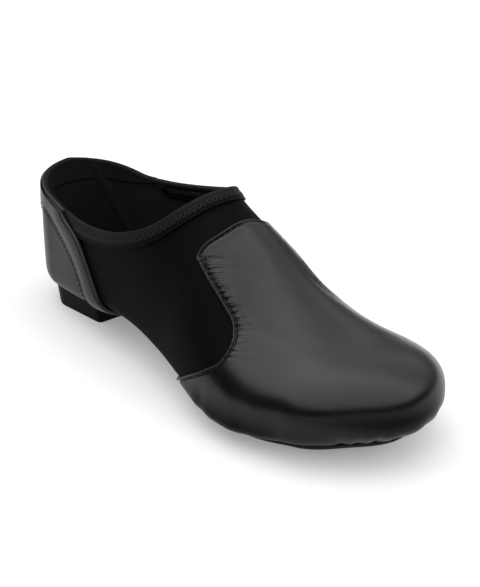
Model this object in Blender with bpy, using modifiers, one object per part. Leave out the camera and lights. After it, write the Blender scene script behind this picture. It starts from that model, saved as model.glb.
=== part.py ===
"""Slip-on jazz shoe for the right foot: a stretch bootie under a leather vamp and a leather counter.

Metres, +Z up, +X towards the toe, +Y towards the big toe. The origin is on the floor, under the middle of
the heel. Every shell is a layer of one last-shaped surface, so the pieces nest with an even gap.
"""
from collections import namedtuple
from math import cos, pi, sin

import bpy
import bmesh
import numpy as np

# Driving sizes
LENGTH = 0.245
BALL_WIDTH = 0.088
HEEL_WIDTH = 0.059
INSTEP_HEIGHT = 0.087
COLLAR_HEIGHT = 0.0705
TOE_HEIGHT = 0.044
TOE_SWING = 0.004
TOE_SPRING = 0.0075

HEEL_HEIGHT = 0.010
HEEL_CUP = 0.0022
HEEL_BACK_INSET = 0.0088
HEEL_SIDE_INSET = 0.0045
HEEL_LENGTH = 0.049
HEEL_TAPER = 0.0012
HEEL_FRONT_SHARE = 0.88

WALL = 0.0020
LEATHER = 0.0012
BAND_LEATHER = 0.0020
TAPE = 0.0010
TAPE_WIDTH = 0.0085
SOLE_THICKNESS = 0.0015
SOLE_INSET = 0.0095
SOLE_FLAT = 0.0004
INSOLE_THICKNESS = 0.0015
INSOLE_INSET = 0.0110
LASTING_MARGIN = 0.0070
CLEARANCE = 0.0003

# Depths of the layers under the shoe's outer surface
UPPER_DEPTH = LEATHER + CLEARANCE
LINING_DEPTH = UPPER_DEPTH + WALL
INSOLE_DEPTH = LINING_DEPTH + CLEARANCE
COLLAR_FOLD = LEATHER + CLEARANCE
FOREFOOT_BASE = SOLE_THICKNESS + CLEARANCE - SOLE_FLAT
HEEL_RISE = HEEL_HEIGHT + CLEARANCE - FOREFOOT_BASE

# Sections across the foot, from the back of the heel (0) to the tip of the toe (1). Behind HEEL_FAN they
# turn about the middle of the heel, and in front of TOE_FAN about the middle of the toe. The half widths
# are shares of the width named in the row, and the heights of the widest points are shares of the instep's.
HEEL_FAN = 0.12
TOE_FAN = 0.85
Section = namedtuple("Section", "station width lateral medial wide_lateral wide_medial low_power high_power")
SECTIONS = (
    Section(0.00, HEEL_WIDTH, 0.464, 0.464, 0.337, 0.337, 4.4, 2.4),
    Section(0.05, HEEL_WIDTH, 0.472, 0.477, 0.324, 0.324, 4.6, 2.4),
    Section(0.12, HEEL_WIDTH, 0.490, 0.509, 0.306, 0.306, 4.8, 2.3),
    Section(0.22, HEEL_WIDTH, 0.530, 0.542, 0.295, 0.331, 3.8, 2.4),
    Section(0.32, HEEL_WIDTH, 0.560, 0.560, 0.308, 0.367, 2.6, 2.2),
    Section(0.42, BALL_WIDTH, 0.390, 0.374, 0.292, 0.363, 2.3, 2.0),
    Section(0.52, BALL_WIDTH, 0.424, 0.378, 0.255, 0.320, 2.4, 1.8),
    Section(0.61, BALL_WIDTH, 0.477, 0.422, 0.220, 0.268, 2.6, 1.9),
    Section(0.69, BALL_WIDTH, 0.511, 0.463, 0.191, 0.215, 2.8, 1.9),
    Section(0.77, BALL_WIDTH, 0.510, 0.489, 0.178, 0.190, 2.9, 2.0),
    Section(0.85, BALL_WIDTH, 0.451, 0.494, 0.214, 0.214, 2.6, 2.3),
    Section(0.93, BALL_WIDTH, 0.382, 0.463, 0.260, 0.260, 2.4, 2.5),
    Section(1.00, BALL_WIDTH, 0.430, 0.430, 0.269, 0.269, 2.5, 2.5))

# The side view. along is a share of LENGTH from the middle of the heel, rise a share of HEEL_RISE and
# spring a share of TOE_SPRING. Behind the throat the ridge lies above the collar and guides the walls.
SideRow = namedtuple("SideRow", "along rise spring height ridge")
SIDE_LINES = (
    SideRow(-0.122, 1.00, 0.00, INSTEP_HEIGHT, 1.58),
    SideRow(0.000, 1.00, 0.00, INSTEP_HEIGHT, 1.58),
    SideRow(0.109, 1.14, 0.00, INSTEP_HEIGHT, 1.505),
    SideRow(0.215, 1.25, 0.00, INSTEP_HEIGHT, 1.385),
    SideRow(0.316, 1.12, 0.00, INSTEP_HEIGHT, 1.21),
    SideRow(0.412, 0.70, 0.00, INSTEP_HEIGHT, 1.012),
    SideRow(0.501, 0.27, 0.00, INSTEP_HEIGHT, 0.828),
    SideRow(0.581, 0.04, 0.00, INSTEP_HEIGHT, 0.643),
    SideRow(0.656, 0.00, 0.00, TOE_HEIGHT, 1.06),
    SideRow(0.736, 0.00, 0.24, TOE_HEIGHT, 0.943),
    SideRow(0.812, 0.00, 0.59, TOE_HEIGHT, 0.955),
    SideRow(0.888, 0.00, 1.00, TOE_HEIGHT, 1.005))

# Heights of the collar's folded edge up to the throat, where it meets the ridge, as shares of the height
# named in the row: round the heel it follows the collar's own height, and along the foot the instep's
THROAT = 0.531
COLLAR_SPARE = 0.004
CollarRow = namedtuple("CollarRow", "station height lateral medial")
COLLAR = (
    CollarRow(0.00, COLLAR_HEIGHT, 1.000, 1.000),
    CollarRow(0.06, COLLAR_HEIGHT, 0.966, 0.949),
    CollarRow(0.12, COLLAR_HEIGHT, 0.895, 0.894),
    CollarRow(0.20, COLLAR_HEIGHT, 0.842, 0.907),
    CollarRow(0.30, INSTEP_HEIGHT, 0.687, 0.782),
    CollarRow(0.40, INSTEP_HEIGHT, 0.755, 0.857),
    CollarRow(0.47, INSTEP_HEIGHT, 0.856, 0.926))

# Seams in the side view, as (along, up): shares of LENGTH from the middle of the heel, and of INSTEP_HEIGHT
VAMP_SEAM = (
    (0.468, 1.050), (0.466, 0.900), (0.457, 0.830), (0.451, 0.765), (0.457, 0.745), (0.500, 0.675),
    (0.555, 0.573), (0.588, 0.500), (0.599, 0.445), (0.593, 0.390), (0.570, 0.335), (0.504, 0.205),
    (0.440, 0.070), (0.400, -0.100))
BAND_REAR_SEAM = (
    (-0.160, 0.650), (-0.060, 0.643), (-0.007, 0.618), (0.047, 0.545), (0.090, 0.460), (0.118, 0.380),
    (0.140, 0.277), (0.152, 0.170), (0.160, -0.100))
BAND_FRONT_EDGE = (
    (0.040, 0.900), (0.062, 0.665), (0.101, 0.607), (0.123, 0.567), (0.145, 0.495), (0.164, 0.418),
    (0.180, 0.349), (0.195, 0.281), (0.212, 0.190), (0.232, 0.090), (0.250, -0.100))
BAND_HEM = ((-0.160, 0.670), (0.000, 0.620), (0.100, 0.540), (0.300, 0.500))

# The tape starts under the band at this station, and looks narrower where the walls lean in at the throat
TAPE_START = 0.16
TAPE_LEAN = 0.82

# The forefoot sole starts at this station, and its back edge bows towards the heel by a share of BALL_WIDTH
SOLE_START = 0.57
SOLE_BOW = 0.10
SOLE_TOP = 0.5
INSOLE_TOP = 0.6
HEEL_OPENING_TOP = 0.3

# How finely the surface and the outlines are cut. The closer stations start THROAT_SHARE before the throat
HEEL_STEPS = 5
MIDDLE_STEPS = 18
TOE_STEPS = 6
LOW_STEPS = 6
HIGH_STEPS = 6
THROAT_STEPS = 3
THROAT_SHARE = 0.035
SEARCH_STEPS = 60
OUTLINE_STEPS = 16
BOW_STEPS = 8
MERGE = 0.000001

LATERAL, MEDIAL = -1, 1
REACH = LENGTH * 2


def smooth(xs, ys, q):
    """A smooth curve through points: cubic Hermite pieces with three-point slopes."""
    xs, ys = np.asarray(xs, float), np.asarray(ys, float)
    step = np.diff(xs)
    rate = np.diff(ys) / step
    slope = np.empty_like(ys)
    slope[1:-1] = (rate[:-1] * step[1:] + rate[1:] * step[:-1]) / (step[1:] + step[:-1])
    slope[0], slope[-1] = rate[0], rate[-1]
    i = np.clip(np.searchsorted(xs, q, side="right") - 1, 0, len(xs) - 2)
    s = (q - xs[i]) / step[i]
    return ((2 * s**3 - 3 * s**2 + 1) * ys[i] + (s**3 - 2 * s**2 + s) * step[i] * slope[i]
            + (3 * s**2 - 2 * s**3) * ys[i + 1] + (s**3 - s**2) * step[i] * slope[i + 1])


def section(name, station):
    """A column of SECTIONS at a station."""
    return smooth([row.station for row in SECTIONS], [getattr(row, name) for row in SECTIONS], station)


def half_width(side, station):
    name = "medial" if side == MEDIAL else "lateral"
    widths = [getattr(row, name) * row.width for row in SECTIONS]
    return smooth([row.station for row in SECTIONS], widths, station)


def wide_height(side, station):
    return section("wide_medial" if side == MEDIAL else "wide_lateral", station) * INSTEP_HEIGHT


def bottom_line(x):
    rows = [FOREFOOT_BASE + row.rise * HEEL_RISE + row.spring * TOE_SPRING for row in SIDE_LINES]
    return smooth([row.along * LENGTH for row in SIDE_LINES], rows, x)


def ridge_line(x):
    rows = [row.ridge * row.height for row in SIDE_LINES]
    return smooth([row.along * LENGTH for row in SIDE_LINES], rows, x)


TOE_CENTRE = LENGTH - half_width(MEDIAL, 0.0) - half_width(MEDIAL, 1.0)


def spine(station):
    """The middle of a section on the floor plan."""
    share = np.clip((station - HEEL_FAN) / (TOE_FAN - HEEL_FAN), 0, 1)
    return share * TOE_CENTRE, share**2 * TOE_SWING


def outward(side, station):
    """The direction of a half section on the floor plan: back, then sideways, then forward."""
    heel = np.clip(station / HEEL_FAN, 0, 1)
    toe = np.clip((station - TOE_FAN) / (1 - TOE_FAN), 0, 1)
    angle = pi - (heel + toe) * pi / 2
    return np.cos(angle), side * np.sin(angle)


def form(side, station, level):
    """A point of the outer surface. level is -1 under the foot, 0 at the widest and 1 at the ridge."""
    angle = abs(level) * pi / 2
    power = 2 / section("low_power" if level < 0 else "high_power", station)
    reach = half_width(side, station) * max(cos(angle), 0.0)**power
    middle_x, middle_y = spine(station)
    along, across = outward(side, station)
    x, y = middle_x + along * reach, middle_y + across * reach
    end = bottom_line(x) if level < 0 else ridge_line(x)
    wide = wide_height(side, station)
    return x, y, wide + (end - wide) * sin(angle)**power


def collar_height(side, station):
    """The height of the upper's own edge, inside the fold."""
    name = "medial" if side == MEDIAL else "lateral"
    heights = [getattr(row, name) * row.height - COLLAR_FOLD for row in COLLAR]
    heights.append(ridge_line(spine(THROAT)[0]))
    return smooth([row.station for row in COLLAR] + [THROAT], heights, station)


def level_at(side, station, height):
    """The level at which a section reaches a height, or the ridge's level where it stays lower."""
    levels = np.linspace(0, 1, SEARCH_STEPS + 1)
    return float(np.interp(height, [form(side, station, level)[2] for level in levels], levels))


def stations():
    """Stations from heel to toe, closer at the throat, where the collar's edge turns over the ridge."""
    heel = np.linspace(0, HEEL_FAN, HEEL_STEPS, endpoint=False)
    middle = np.linspace(HEEL_FAN, TOE_FAN, MIDDLE_STEPS, endpoint=False)
    toe = np.linspace(TOE_FAN, 1, TOE_STEPS + 1)
    near = THROAT - THROAT_SHARE * (np.arange(THROAT_STEPS + 1) / THROAT_STEPS)**2
    rest = np.concatenate([heel, middle, toe])
    spacing = (TOE_FAN - HEEL_FAN) / MIDDLE_STEPS
    clear = (rest < near[-1] - spacing / 2) | (rest > THROAT + spacing / 2)
    return np.sort(np.concatenate([rest[clear], near]))


def surface(name):
    """The shoe's outer surface as an open mesh that ends a little above the collar's edge."""
    mesh = bpy.data.meshes.new(name)
    bm = bmesh.new()
    for side in (LATERAL, MEDIAL):
        columns = []
        for station in stations():
            top = 1.0
            if station < THROAT:
                top = level_at(side, station, collar_height(side, station) + COLLAR_SPARE)
            levels = [*np.linspace(-1, 0, LOW_STEPS + 1), *np.linspace(0, top, HIGH_STEPS + 1)[1:]]
            columns.append([bm.verts.new(form(side, station, level)) for level in levels])
        for one, two in zip(columns, columns[1:]):
            for a, b, c, d in zip(one, two, two[1:], one[1:]):
                bm.faces.new((a, b, c, d) if side == LATERAL else (d, c, b, a))
    bmesh.ops.remove_doubles(bm, verts=bm.verts, dist=MERGE)
    bmesh.ops.dissolve_degenerate(bm, edges=bm.edges, dist=MERGE)
    bmesh.ops.triangulate(bm, faces=bm.faces, quad_method="SHORT_EDGE")
    for face in bm.faces:
        face.smooth = True
    bm.to_mesh(mesh)
    bm.free()
    return mesh


def collection(name):
    made = bpy.data.collections.new(name)
    bpy.context.scene.collection.children.link(made)
    return made


def material(name, colour, roughness):
    made = bpy.data.materials.new(name)
    made.use_nodes = True
    shader = made.node_tree.nodes["Principled BSDF"]
    shader.inputs["Base Color"].default_value = (*colour, 1)
    shader.inputs["Roughness"].default_value = roughness
    shader.inputs["Metallic"].default_value = 0.0
    return made


def layer(name, group, depth, thickness):
    """A shell of the shoe's surface, from depth inwards."""
    made = bpy.data.objects.new(name, surface(name))
    group.objects.link(made)
    shell = made.modifiers.new("thickness", "SOLIDIFY")
    shell.thickness = thickness
    shell.offset = -1 - 2 * depth / thickness
    return made


def as_cutter(made):
    made.hide_render = True
    made.display_type = "WIRE"
    return made


def prism(name, group, outline, low, high):
    """A cutter with a flat outline and upright walls."""
    curve = bpy.data.curves.new(name, "CURVE")
    curve.dimensions = "2D"
    curve.fill_mode = "BOTH"
    curve.extrude = (high - low) / 2
    spline = curve.splines.new("POLY")
    spline.points.add(len(outline) - 1)
    for point, (u, v) in zip(spline.points, outline):
        point.co = (u, v, 0, 1)
    spline.use_cyclic_u = True
    drawn = bpy.data.objects.new(name, curve)
    mesh = bpy.data.meshes.new_from_object(drawn)
    bpy.data.objects.remove(drawn)
    bm = bmesh.new()
    bm.from_mesh(mesh)
    bmesh.ops.remove_doubles(bm, verts=bm.verts, dist=MERGE)
    bmesh.ops.recalc_face_normals(bm, faces=bm.faces)
    bm.to_mesh(mesh)
    bm.free()
    made = bpy.data.objects.new(name, mesh)
    made.location.z = (low + high) / 2
    group.objects.link(made)
    return as_cutter(made)


def side_prism(name, group, outline, low=-REACH, high=REACH):
    """A cutter with an outline in the side view, lying across the shoe from low to high."""
    made = prism(name, group, outline, -high, -low)
    made.location.y = -made.location.z
    made.location.z = 0
    made.rotation_euler.x = pi / 2
    return made


def cut(made, tool, operation):
    boolean = made.modifiers.new(tool.name, "BOOLEAN")
    boolean.solver = "EXACT"
    boolean.operation = operation
    boolean.object = tool


def cut_at_collar(made, group, lift=0.0):
    """Ends a layer at the collar's edge raised by lift."""
    for side, low, high in ((LATERAL, -REACH, 0), (MEDIAL, 0, REACH)):
        edge = []
        for station in np.linspace(0, THROAT, OUTLINE_STEPS + 1):
            x, _, z = form(side, station, level_at(side, station, collar_height(side, station)))
            edge.append((x, z + lift))
        above = [(-REACH, edge[0][1]), *edge, (edge[-1][0], REACH), (-REACH, REACH)]
        name = made.name + ("_collar_medial" if side == MEDIAL else "_collar_lateral")
        cut(made, side_prism(name, group, above, low, high), "DIFFERENCE")


def finish(made, look):
    made.data.materials.clear()
    made.data.materials.append(look)


def side_curve(points, ahead=0.0):
    """A seam's points in the side view, moved ahead."""
    return [(along * LENGTH + ahead, up * INSTEP_HEIGHT) for along, up in points]


def plan_outline(inset, first):
    """The shoe's outline on the floor plan, drawn in by inset, from a station forwards and round the toe."""
    sides = {}
    for side in (LATERAL, MEDIAL):
        span = np.linspace(first, 1, OUTLINE_STEPS + 1)
        reach = half_width(side, span) - inset
        middle_x, middle_y = spine(span)
        along, across = outward(side, span)
        sides[side] = list(zip(middle_x + along * reach, middle_y + across * reach))
    back = 1 if first == 0 else 0
    return sides[LATERAL][back:] + sides[MEDIAL][-2::-1]


def bowed_back(outline):
    """An outline whose straight back edge bows towards the heel."""
    (start_x, start_y), (end_x, end_y) = outline[-1], outline[0]
    bow = []
    for angle in np.linspace(0, pi, BOW_STEPS + 1)[1:-1]:
        share = (1 - cos(angle)) / 2
        x = start_x + (end_x - start_x) * share - SOLE_BOW * BALL_WIDTH * sin(angle)
        bow.append((x, start_y + (end_y - start_y) * share))
    return outline + bow


def heel_outline(inset):
    """The heel's outline on the floor plan: round at the back, straight across its front."""
    back = half_width(LATERAL, 0.0) - HEEL_BACK_INSET
    side = half_width(LATERAL, HEEL_FAN) - HEEL_SIDE_INSET - inset
    front = HEEL_LENGTH - back - inset
    angles = np.linspace(0, pi, OUTLINE_STEPS + 1)
    arc = [(-(back - inset) * sin(angle), -side * cos(angle)) for angle in angles]
    return arc + [(front, side * HEEL_FRONT_SHARE), (front, -side * HEEL_FRONT_SHARE)]


def tape_edge(side):
    """The tape's lower edge in the side view, up to the ridge."""
    span = np.linspace(TAPE_START, THROAT, OUTLINE_STEPS + 1)
    x, z = spine(span)[0], collar_height(side, span)
    run, climb = np.gradient(x), np.gradient(z)
    drop = TAPE_WIDTH * np.linspace(1, TAPE_LEAN, OUTLINE_STEPS + 1) / np.hypot(run, climb)
    return np.column_stack([x + drop * climb, z - drop * run])


def below_tape(side):
    """What lies below and ahead of the tape's lower edge, in the side view."""
    front = (tape_edge(LATERAL)[-1] + tape_edge(MEDIAL)[-1]) / 2
    edge = [*tape_edge(side)[:-1], front]
    return [(-REACH, edge[0][1]), *edge, (front[0], REACH), (REACH, REACH), (REACH, -REACH), (-REACH, -REACH)]


def behind_front_edge(ahead=0.0):
    """What lies behind the band's front edge, in the side view."""
    front = side_curve(BAND_FRONT_EDGE, ahead)
    return front + [(-REACH, front[-1][1]), (-REACH, REACH), (front[0][0], REACH)]


def band_outline():
    """What lies between the band's rear seam and its front edge, in the side view."""
    rear, front = side_curve(BAND_REAR_SEAM), side_curve(BAND_FRONT_EDGE)
    return rear + front[::-1] + [(front[0][0], REACH), (-REACH, REACH), (-REACH, rear[0][1])]


def upper(parts, cutters, openings):
    """The stretch bootie with its lining, open at the collar, under the forefoot and under the heel."""
    made = layer("upper", parts, UPPER_DEPTH, WALL)
    cut_at_collar(made, cutters)
    for opening in openings:
        cut(made, opening, "DIFFERENCE")
    finish(made, material("stretch_neoprene", (0.018, 0.018, 0.020), 0.85))


def upper_room(cutters):
    """The room that the folded edges keep free for the upper's wall."""
    made = layer("upper_room", cutters, LEATHER, WALL + 2 * CLEARANCE)
    cut_at_collar(made, cutters, CLEARANCE)
    return as_cutter(made)


def vamp(parts, cutters, opening):
    """Soft leather over the forefoot, turned in under the foot all round."""
    seam = side_curve(VAMP_SEAM)
    ahead = seam + [(REACH, seam[-1][1]), (REACH, seam[0][1])]
    made = layer("vamp", parts, 0, LEATHER)
    cut(made, side_prism("vamp_side", cutters, ahead), "INTERSECT")
    cut(made, opening, "DIFFERENCE")
    finish(made, material("vamp_leather", (0.030, 0.030, 0.032), 0.42))


def heel_counter(parts, cutters, opening):
    """Leather round the back of the heel, up to the seam of the band."""
    seam = [(x - CLEARANCE, z - CLEARANCE) for x, z in side_curve(BAND_REAR_SEAM)]
    behind = seam + [(-REACH, seam[-1][1]), (-REACH, seam[0][1])]
    made = layer("heel_counter", parts, 0, LEATHER)
    cut(made, side_prism("counter_side", cutters, behind), "INTERSECT")
    cut(made, opening, "DIFFERENCE")
    finish(made, material("counter_leather", (0.034, 0.034, 0.036), 0.45))


def counter_band(parts, cutters, room, opening):
    """Leather folded over the back of the collar, and on down both front edges of the counter."""
    proud = BAND_LEATHER - LEATHER
    inside = LINING_DEPTH + CLEARANCE + LEATHER
    made = layer("counter_band", parts, -proud, proud + inside)
    cut(made, side_prism("band_side", cutters, band_outline()), "INTERSECT")
    cut_at_collar(made, cutters, COLLAR_FOLD)
    cut(made, room, "DIFFERENCE")
    below = layer("band_inside", cutters, UPPER_DEPTH, inside)
    hem = side_curve(BAND_HEM) + [(REACH, -REACH), (-REACH, -REACH)]
    cut(below, side_prism("band_hem", cutters, hem), "INTERSECT")
    cut(made, as_cutter(below), "DIFFERENCE")
    cut(made, opening, "DIFFERENCE")
    finish(made, material("band_leather", (0.036, 0.036, 0.038), 0.45))


def collar_tape(parts, cutters, room):
    """Elastic tape folded over the collar's edge, from the band on one side round the throat to the other."""
    made = layer("collar_tape", parts, LEATHER - TAPE, 2 * TAPE + WALL + 2 * CLEARANCE)
    lateral = side_prism("tape_below_lateral", cutters, below_tape(LATERAL), high=0)
    medial = side_prism("tape_below_medial", cutters, below_tape(MEDIAL), low=0)
    behind = side_prism("tape_behind", cutters, behind_front_edge(CLEARANCE))
    for tool in (lateral, medial, behind):
        cut(made, tool, "DIFFERENCE")
    cut_at_collar(made, cutters, CLEARANCE + TAPE)
    cut(made, room, "DIFFERENCE")
    finish(made, material("elastic_tape", (0.022, 0.022, 0.024), 0.75))


def forefoot_sole(parts, cutters, outline):
    """A thin suede-like rubber sole glued on under the forefoot, with a flat spot under the ball."""
    made = layer("forefoot_sole", parts, -CLEARANCE - SOLE_THICKNESS, SOLE_THICKNESS)
    cut(made, prism("sole_outline", cutters, outline, 0, SOLE_TOP * TOE_HEIGHT), "INTERSECT")
    finish(made, material("sole_rubber", (0.022, 0.021, 0.018), 0.8))


def heel_block(parts, cutters):
    """A low rubber heel, drawn in towards the floor, whose top is a shallow cup for the heel seat."""
    foot, head = heel_outline(HEEL_TAPER), heel_outline(0)
    mesh = bpy.data.meshes.new("heel_block")
    bm = bmesh.new()
    low = [bm.verts.new((x, y, 0)) for x, y in foot]
    high = [bm.verts.new((x, y, HEEL_HEIGHT + HEEL_CUP)) for x, y in head]
    bm.faces.new(low)
    bm.faces.new(high)
    for i in range(len(low)):
        bm.faces.new((low[i - 1], low[i], high[i], high[i - 1]))
    bmesh.ops.recalc_face_normals(bm, faces=bm.faces)
    bm.to_mesh(mesh)
    bm.free()
    made = bpy.data.objects.new("heel_block", mesh)
    parts.objects.link(made)
    seat = layer("heel_seat", cutters, -CLEARANCE, 2 * HEEL_CUP + CLEARANCE)
    cut(made, as_cutter(seat), "DIFFERENCE")
    finish(made, material("heel_rubber", (0.020, 0.020, 0.017), 0.7))


def insole(parts, cutters):
    """A thin sock lining glued in along the whole foot, over both openings."""
    made = layer("insole", parts, INSOLE_DEPTH, INSOLE_THICKNESS)
    outline = prism("insole_outline", cutters, plan_outline(INSOLE_INSET, 0), 0, INSOLE_TOP * TOE_HEIGHT)
    cut(made, outline, "INTERSECT")
    finish(made, material("insole_fabric", (0.02, 0.02, 0.02), 0.9))


for old in list(bpy.data.objects):
    bpy.data.objects.remove(old)

shoe = collection("jazz_shoe")
tools = collection("cutters")

sole_edge = bowed_back(plan_outline(SOLE_INSET, SOLE_START))
margin_edge = bowed_back(plan_outline(SOLE_INSET + LASTING_MARGIN, SOLE_START))
forefoot_opening = prism("forefoot_opening", tools, margin_edge, -REACH, SOLE_TOP * TOE_HEIGHT)
heel_edge = heel_outline(LASTING_MARGIN)
heel_opening = prism("heel_opening", tools, heel_edge, -REACH, HEEL_OPENING_TOP * COLLAR_HEIGHT)

upper(shoe, tools, (forefoot_opening, heel_opening))
vamp(shoe, tools, forefoot_opening)
heel_counter(shoe, tools, heel_opening)
wall_room = upper_room(tools)
counter_band(shoe, tools, wall_room, heel_opening)
collar_tape(shoe, tools, wall_room)
forefoot_sole(shoe, tools, sole_edge)
heel_block(shoe, tools)
insole(shoe, tools)
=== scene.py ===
"""Looks of a right slip-on jazz shoe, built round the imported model. Metres, +X towards the toe, +Z up."""
from collections import namedtuple
from math import cos, pi, radians, sin

import bmesh
import bpy
import numpy as np
from mathutils import Matrix, Vector


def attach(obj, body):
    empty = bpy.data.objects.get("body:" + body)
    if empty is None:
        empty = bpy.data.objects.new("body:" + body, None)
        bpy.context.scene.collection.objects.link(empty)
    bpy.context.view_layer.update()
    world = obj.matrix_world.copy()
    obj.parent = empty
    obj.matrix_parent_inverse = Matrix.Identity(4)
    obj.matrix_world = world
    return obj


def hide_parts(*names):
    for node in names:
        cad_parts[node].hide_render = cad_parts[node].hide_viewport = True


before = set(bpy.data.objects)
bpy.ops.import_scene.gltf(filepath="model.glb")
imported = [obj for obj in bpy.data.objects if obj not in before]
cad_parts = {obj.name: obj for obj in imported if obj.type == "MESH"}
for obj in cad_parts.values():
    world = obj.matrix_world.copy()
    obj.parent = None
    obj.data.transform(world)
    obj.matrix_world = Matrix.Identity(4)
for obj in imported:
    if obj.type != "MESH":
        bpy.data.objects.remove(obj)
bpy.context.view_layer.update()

# The stretch bootie: a sock of bonded neoprene, knitted outside and fleecy inside, that runs through the
# whole shoe. It is cut flat, closed on the last, and everything else is sewn or glued onto it. Its form is
# the last's, given by sections across the foot, and every other piece is a layer over or under that form.
LENGTH = 0.245
BALL_WIDTH = 0.088
HEEL_WIDTH = 0.059
INSTEP_HEIGHT = 0.087
COLLAR_HEIGHT = 0.0705
TOE_HEIGHT = 0.044
TOE_SWING = 0.004
TOE_SPRING = 0.0075
HEEL_HEIGHT = 0.010
SOLE_THICKNESS = 0.0015
SOLE_FLAT = 0.0004
LEATHER = 0.0012
WALL = 0.0020
CLEARANCE = 0.0003
FOREFOOT_BASE = SOLE_THICKNESS + CLEARANCE - SOLE_FLAT
HEEL_RISE = HEEL_HEIGHT + CLEARANCE - FOREFOOT_BASE
UPPER_DEPTH = LEATHER + CLEARANCE
LINING_DEPTH = UPPER_DEPTH + WALL
COLLAR_FOLD = LEATHER + CLEARANCE
LATERAL, MEDIAL = -1, 1
SIDES = (LATERAL, MEDIAL)

HEEL_FAN = 0.12
TOE_FAN = 0.85
# Sections from heel to toe: each side's half width as a share of a width, the height of its widest point as
# a share of the instep's, and how square it is below that point and above it
Section = namedtuple(
    "Section", "station width lateral medial wide_lateral wide_medial low_power high_power")
SECTIONS = (
    Section(0.00, HEEL_WIDTH, 0.464, 0.464, 0.337, 0.337, 4.4, 2.4),
    Section(0.05, HEEL_WIDTH, 0.472, 0.477, 0.324, 0.324, 4.6, 2.4),
    Section(0.12, HEEL_WIDTH, 0.490, 0.509, 0.306, 0.306, 4.8, 2.3),
    Section(0.22, HEEL_WIDTH, 0.530, 0.542, 0.295, 0.331, 3.8, 2.4),
    Section(0.32, HEEL_WIDTH, 0.560, 0.560, 0.308, 0.367, 2.6, 2.2),
    Section(0.42, BALL_WIDTH, 0.390, 0.374, 0.292, 0.363, 2.3, 2.0),
    Section(0.52, BALL_WIDTH, 0.424, 0.378, 0.255, 0.320, 2.4, 1.8),
    Section(0.61, BALL_WIDTH, 0.477, 0.422, 0.220, 0.268, 2.6, 1.9),
    Section(0.69, BALL_WIDTH, 0.511, 0.463, 0.191, 0.215, 2.8, 1.9),
    Section(0.77, BALL_WIDTH, 0.510, 0.489, 0.178, 0.190, 2.9, 2.0),
    Section(0.85, BALL_WIDTH, 0.451, 0.494, 0.214, 0.214, 2.6, 2.3),
    Section(0.93, BALL_WIDTH, 0.382, 0.463, 0.260, 0.260, 2.4, 2.5),
    Section(1.00, BALL_WIDTH, 0.430, 0.430, 0.269, 0.269, 2.5, 2.5))
# The side view: how far the underside rises over the heel block and springs at the toe, and the ridge
SideRow = namedtuple("SideRow", "along rise spring height ridge")
SIDE_LINES = (
    SideRow(-0.122, 1.00, 0.00, INSTEP_HEIGHT, 1.58),
    SideRow(0.000, 1.00, 0.00, INSTEP_HEIGHT, 1.58),
    SideRow(0.109, 1.14, 0.00, INSTEP_HEIGHT, 1.505),
    SideRow(0.215, 1.25, 0.00, INSTEP_HEIGHT, 1.385),
    SideRow(0.316, 1.12, 0.00, INSTEP_HEIGHT, 1.21),
    SideRow(0.412, 0.70, 0.00, INSTEP_HEIGHT, 1.012),
    SideRow(0.501, 0.27, 0.00, INSTEP_HEIGHT, 0.828),
    SideRow(0.581, 0.04, 0.00, INSTEP_HEIGHT, 0.643),
    SideRow(0.656, 0.00, 0.00, TOE_HEIGHT, 1.06),
    SideRow(0.736, 0.00, 0.24, TOE_HEIGHT, 0.943),
    SideRow(0.812, 0.00, 0.59, TOE_HEIGHT, 0.955),
    SideRow(0.888, 0.00, 1.00, TOE_HEIGHT, 1.005))
# The collar's edge on each side, as shares of a height, and the station where it crosses the ridge
THROAT = 0.531
CollarRow = namedtuple("CollarRow", "station height lateral medial")
COLLAR = (
    CollarRow(0.00, COLLAR_HEIGHT, 1.000, 1.000),
    CollarRow(0.06, COLLAR_HEIGHT, 0.966, 0.949),
    CollarRow(0.12, COLLAR_HEIGHT, 0.895, 0.894),
    CollarRow(0.20, COLLAR_HEIGHT, 0.842, 0.907),
    CollarRow(0.30, INSTEP_HEIGHT, 0.687, 0.782),
    CollarRow(0.40, INSTEP_HEIGHT, 0.755, 0.857),
    CollarRow(0.47, INSTEP_HEIGHT, 0.856, 0.926))


def smooth(xs, ys, q):
    """A smooth curve through points: cubic Hermite pieces with three-point slopes."""
    xs, ys = np.asarray(xs, float), np.asarray(ys, float)
    step = np.diff(xs)
    rate = np.diff(ys) / step
    slope = np.empty_like(ys)
    slope[1:-1] = (rate[:-1] * step[1:] + rate[1:] * step[:-1]) / (step[1:] + step[:-1])
    slope[0], slope[-1] = rate[0], rate[-1]
    i = np.clip(np.searchsorted(xs, q, side="right") - 1, 0, len(xs) - 2)
    s = (q - xs[i]) / step[i]
    return ((2 * s**3 - 3 * s**2 + 1) * ys[i] + (s**3 - 2 * s**2 + s) * step[i] * slope[i]
            + (3 * s**2 - 2 * s**3) * ys[i + 1] + (s**3 - s**2) * step[i] * slope[i + 1])


def column(name, station):
    """A column of SECTIONS at some stations."""
    return smooth([row.station for row in SECTIONS], [getattr(row, name) for row in SECTIONS], station)


def half_width(side, station):
    name = "medial" if side == MEDIAL else "lateral"
    widths = [getattr(row, name) * row.width for row in SECTIONS]
    return smooth([row.station for row in SECTIONS], widths, station)


def bottom_line(x):
    rows = [FOREFOOT_BASE + row.rise * HEEL_RISE + row.spring * TOE_SPRING for row in SIDE_LINES]
    return smooth([row.along * LENGTH for row in SIDE_LINES], rows, x)


def ridge_line(x):
    rows = [row.ridge * row.height for row in SIDE_LINES]
    return smooth([row.along * LENGTH for row in SIDE_LINES], rows, x)


HEEL_RADIUS = half_width(MEDIAL, 0.0)
TOE_RADIUS = half_width(MEDIAL, 1.0)
TOE_CENTRE = LENGTH - HEEL_RADIUS - TOE_RADIUS


def spine(station):
    """The middle of a section on the floor plan."""
    share = np.clip((station - HEEL_FAN) / (TOE_FAN - HEEL_FAN), 0, 1)
    return share * TOE_CENTRE, share**2 * TOE_SWING


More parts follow.
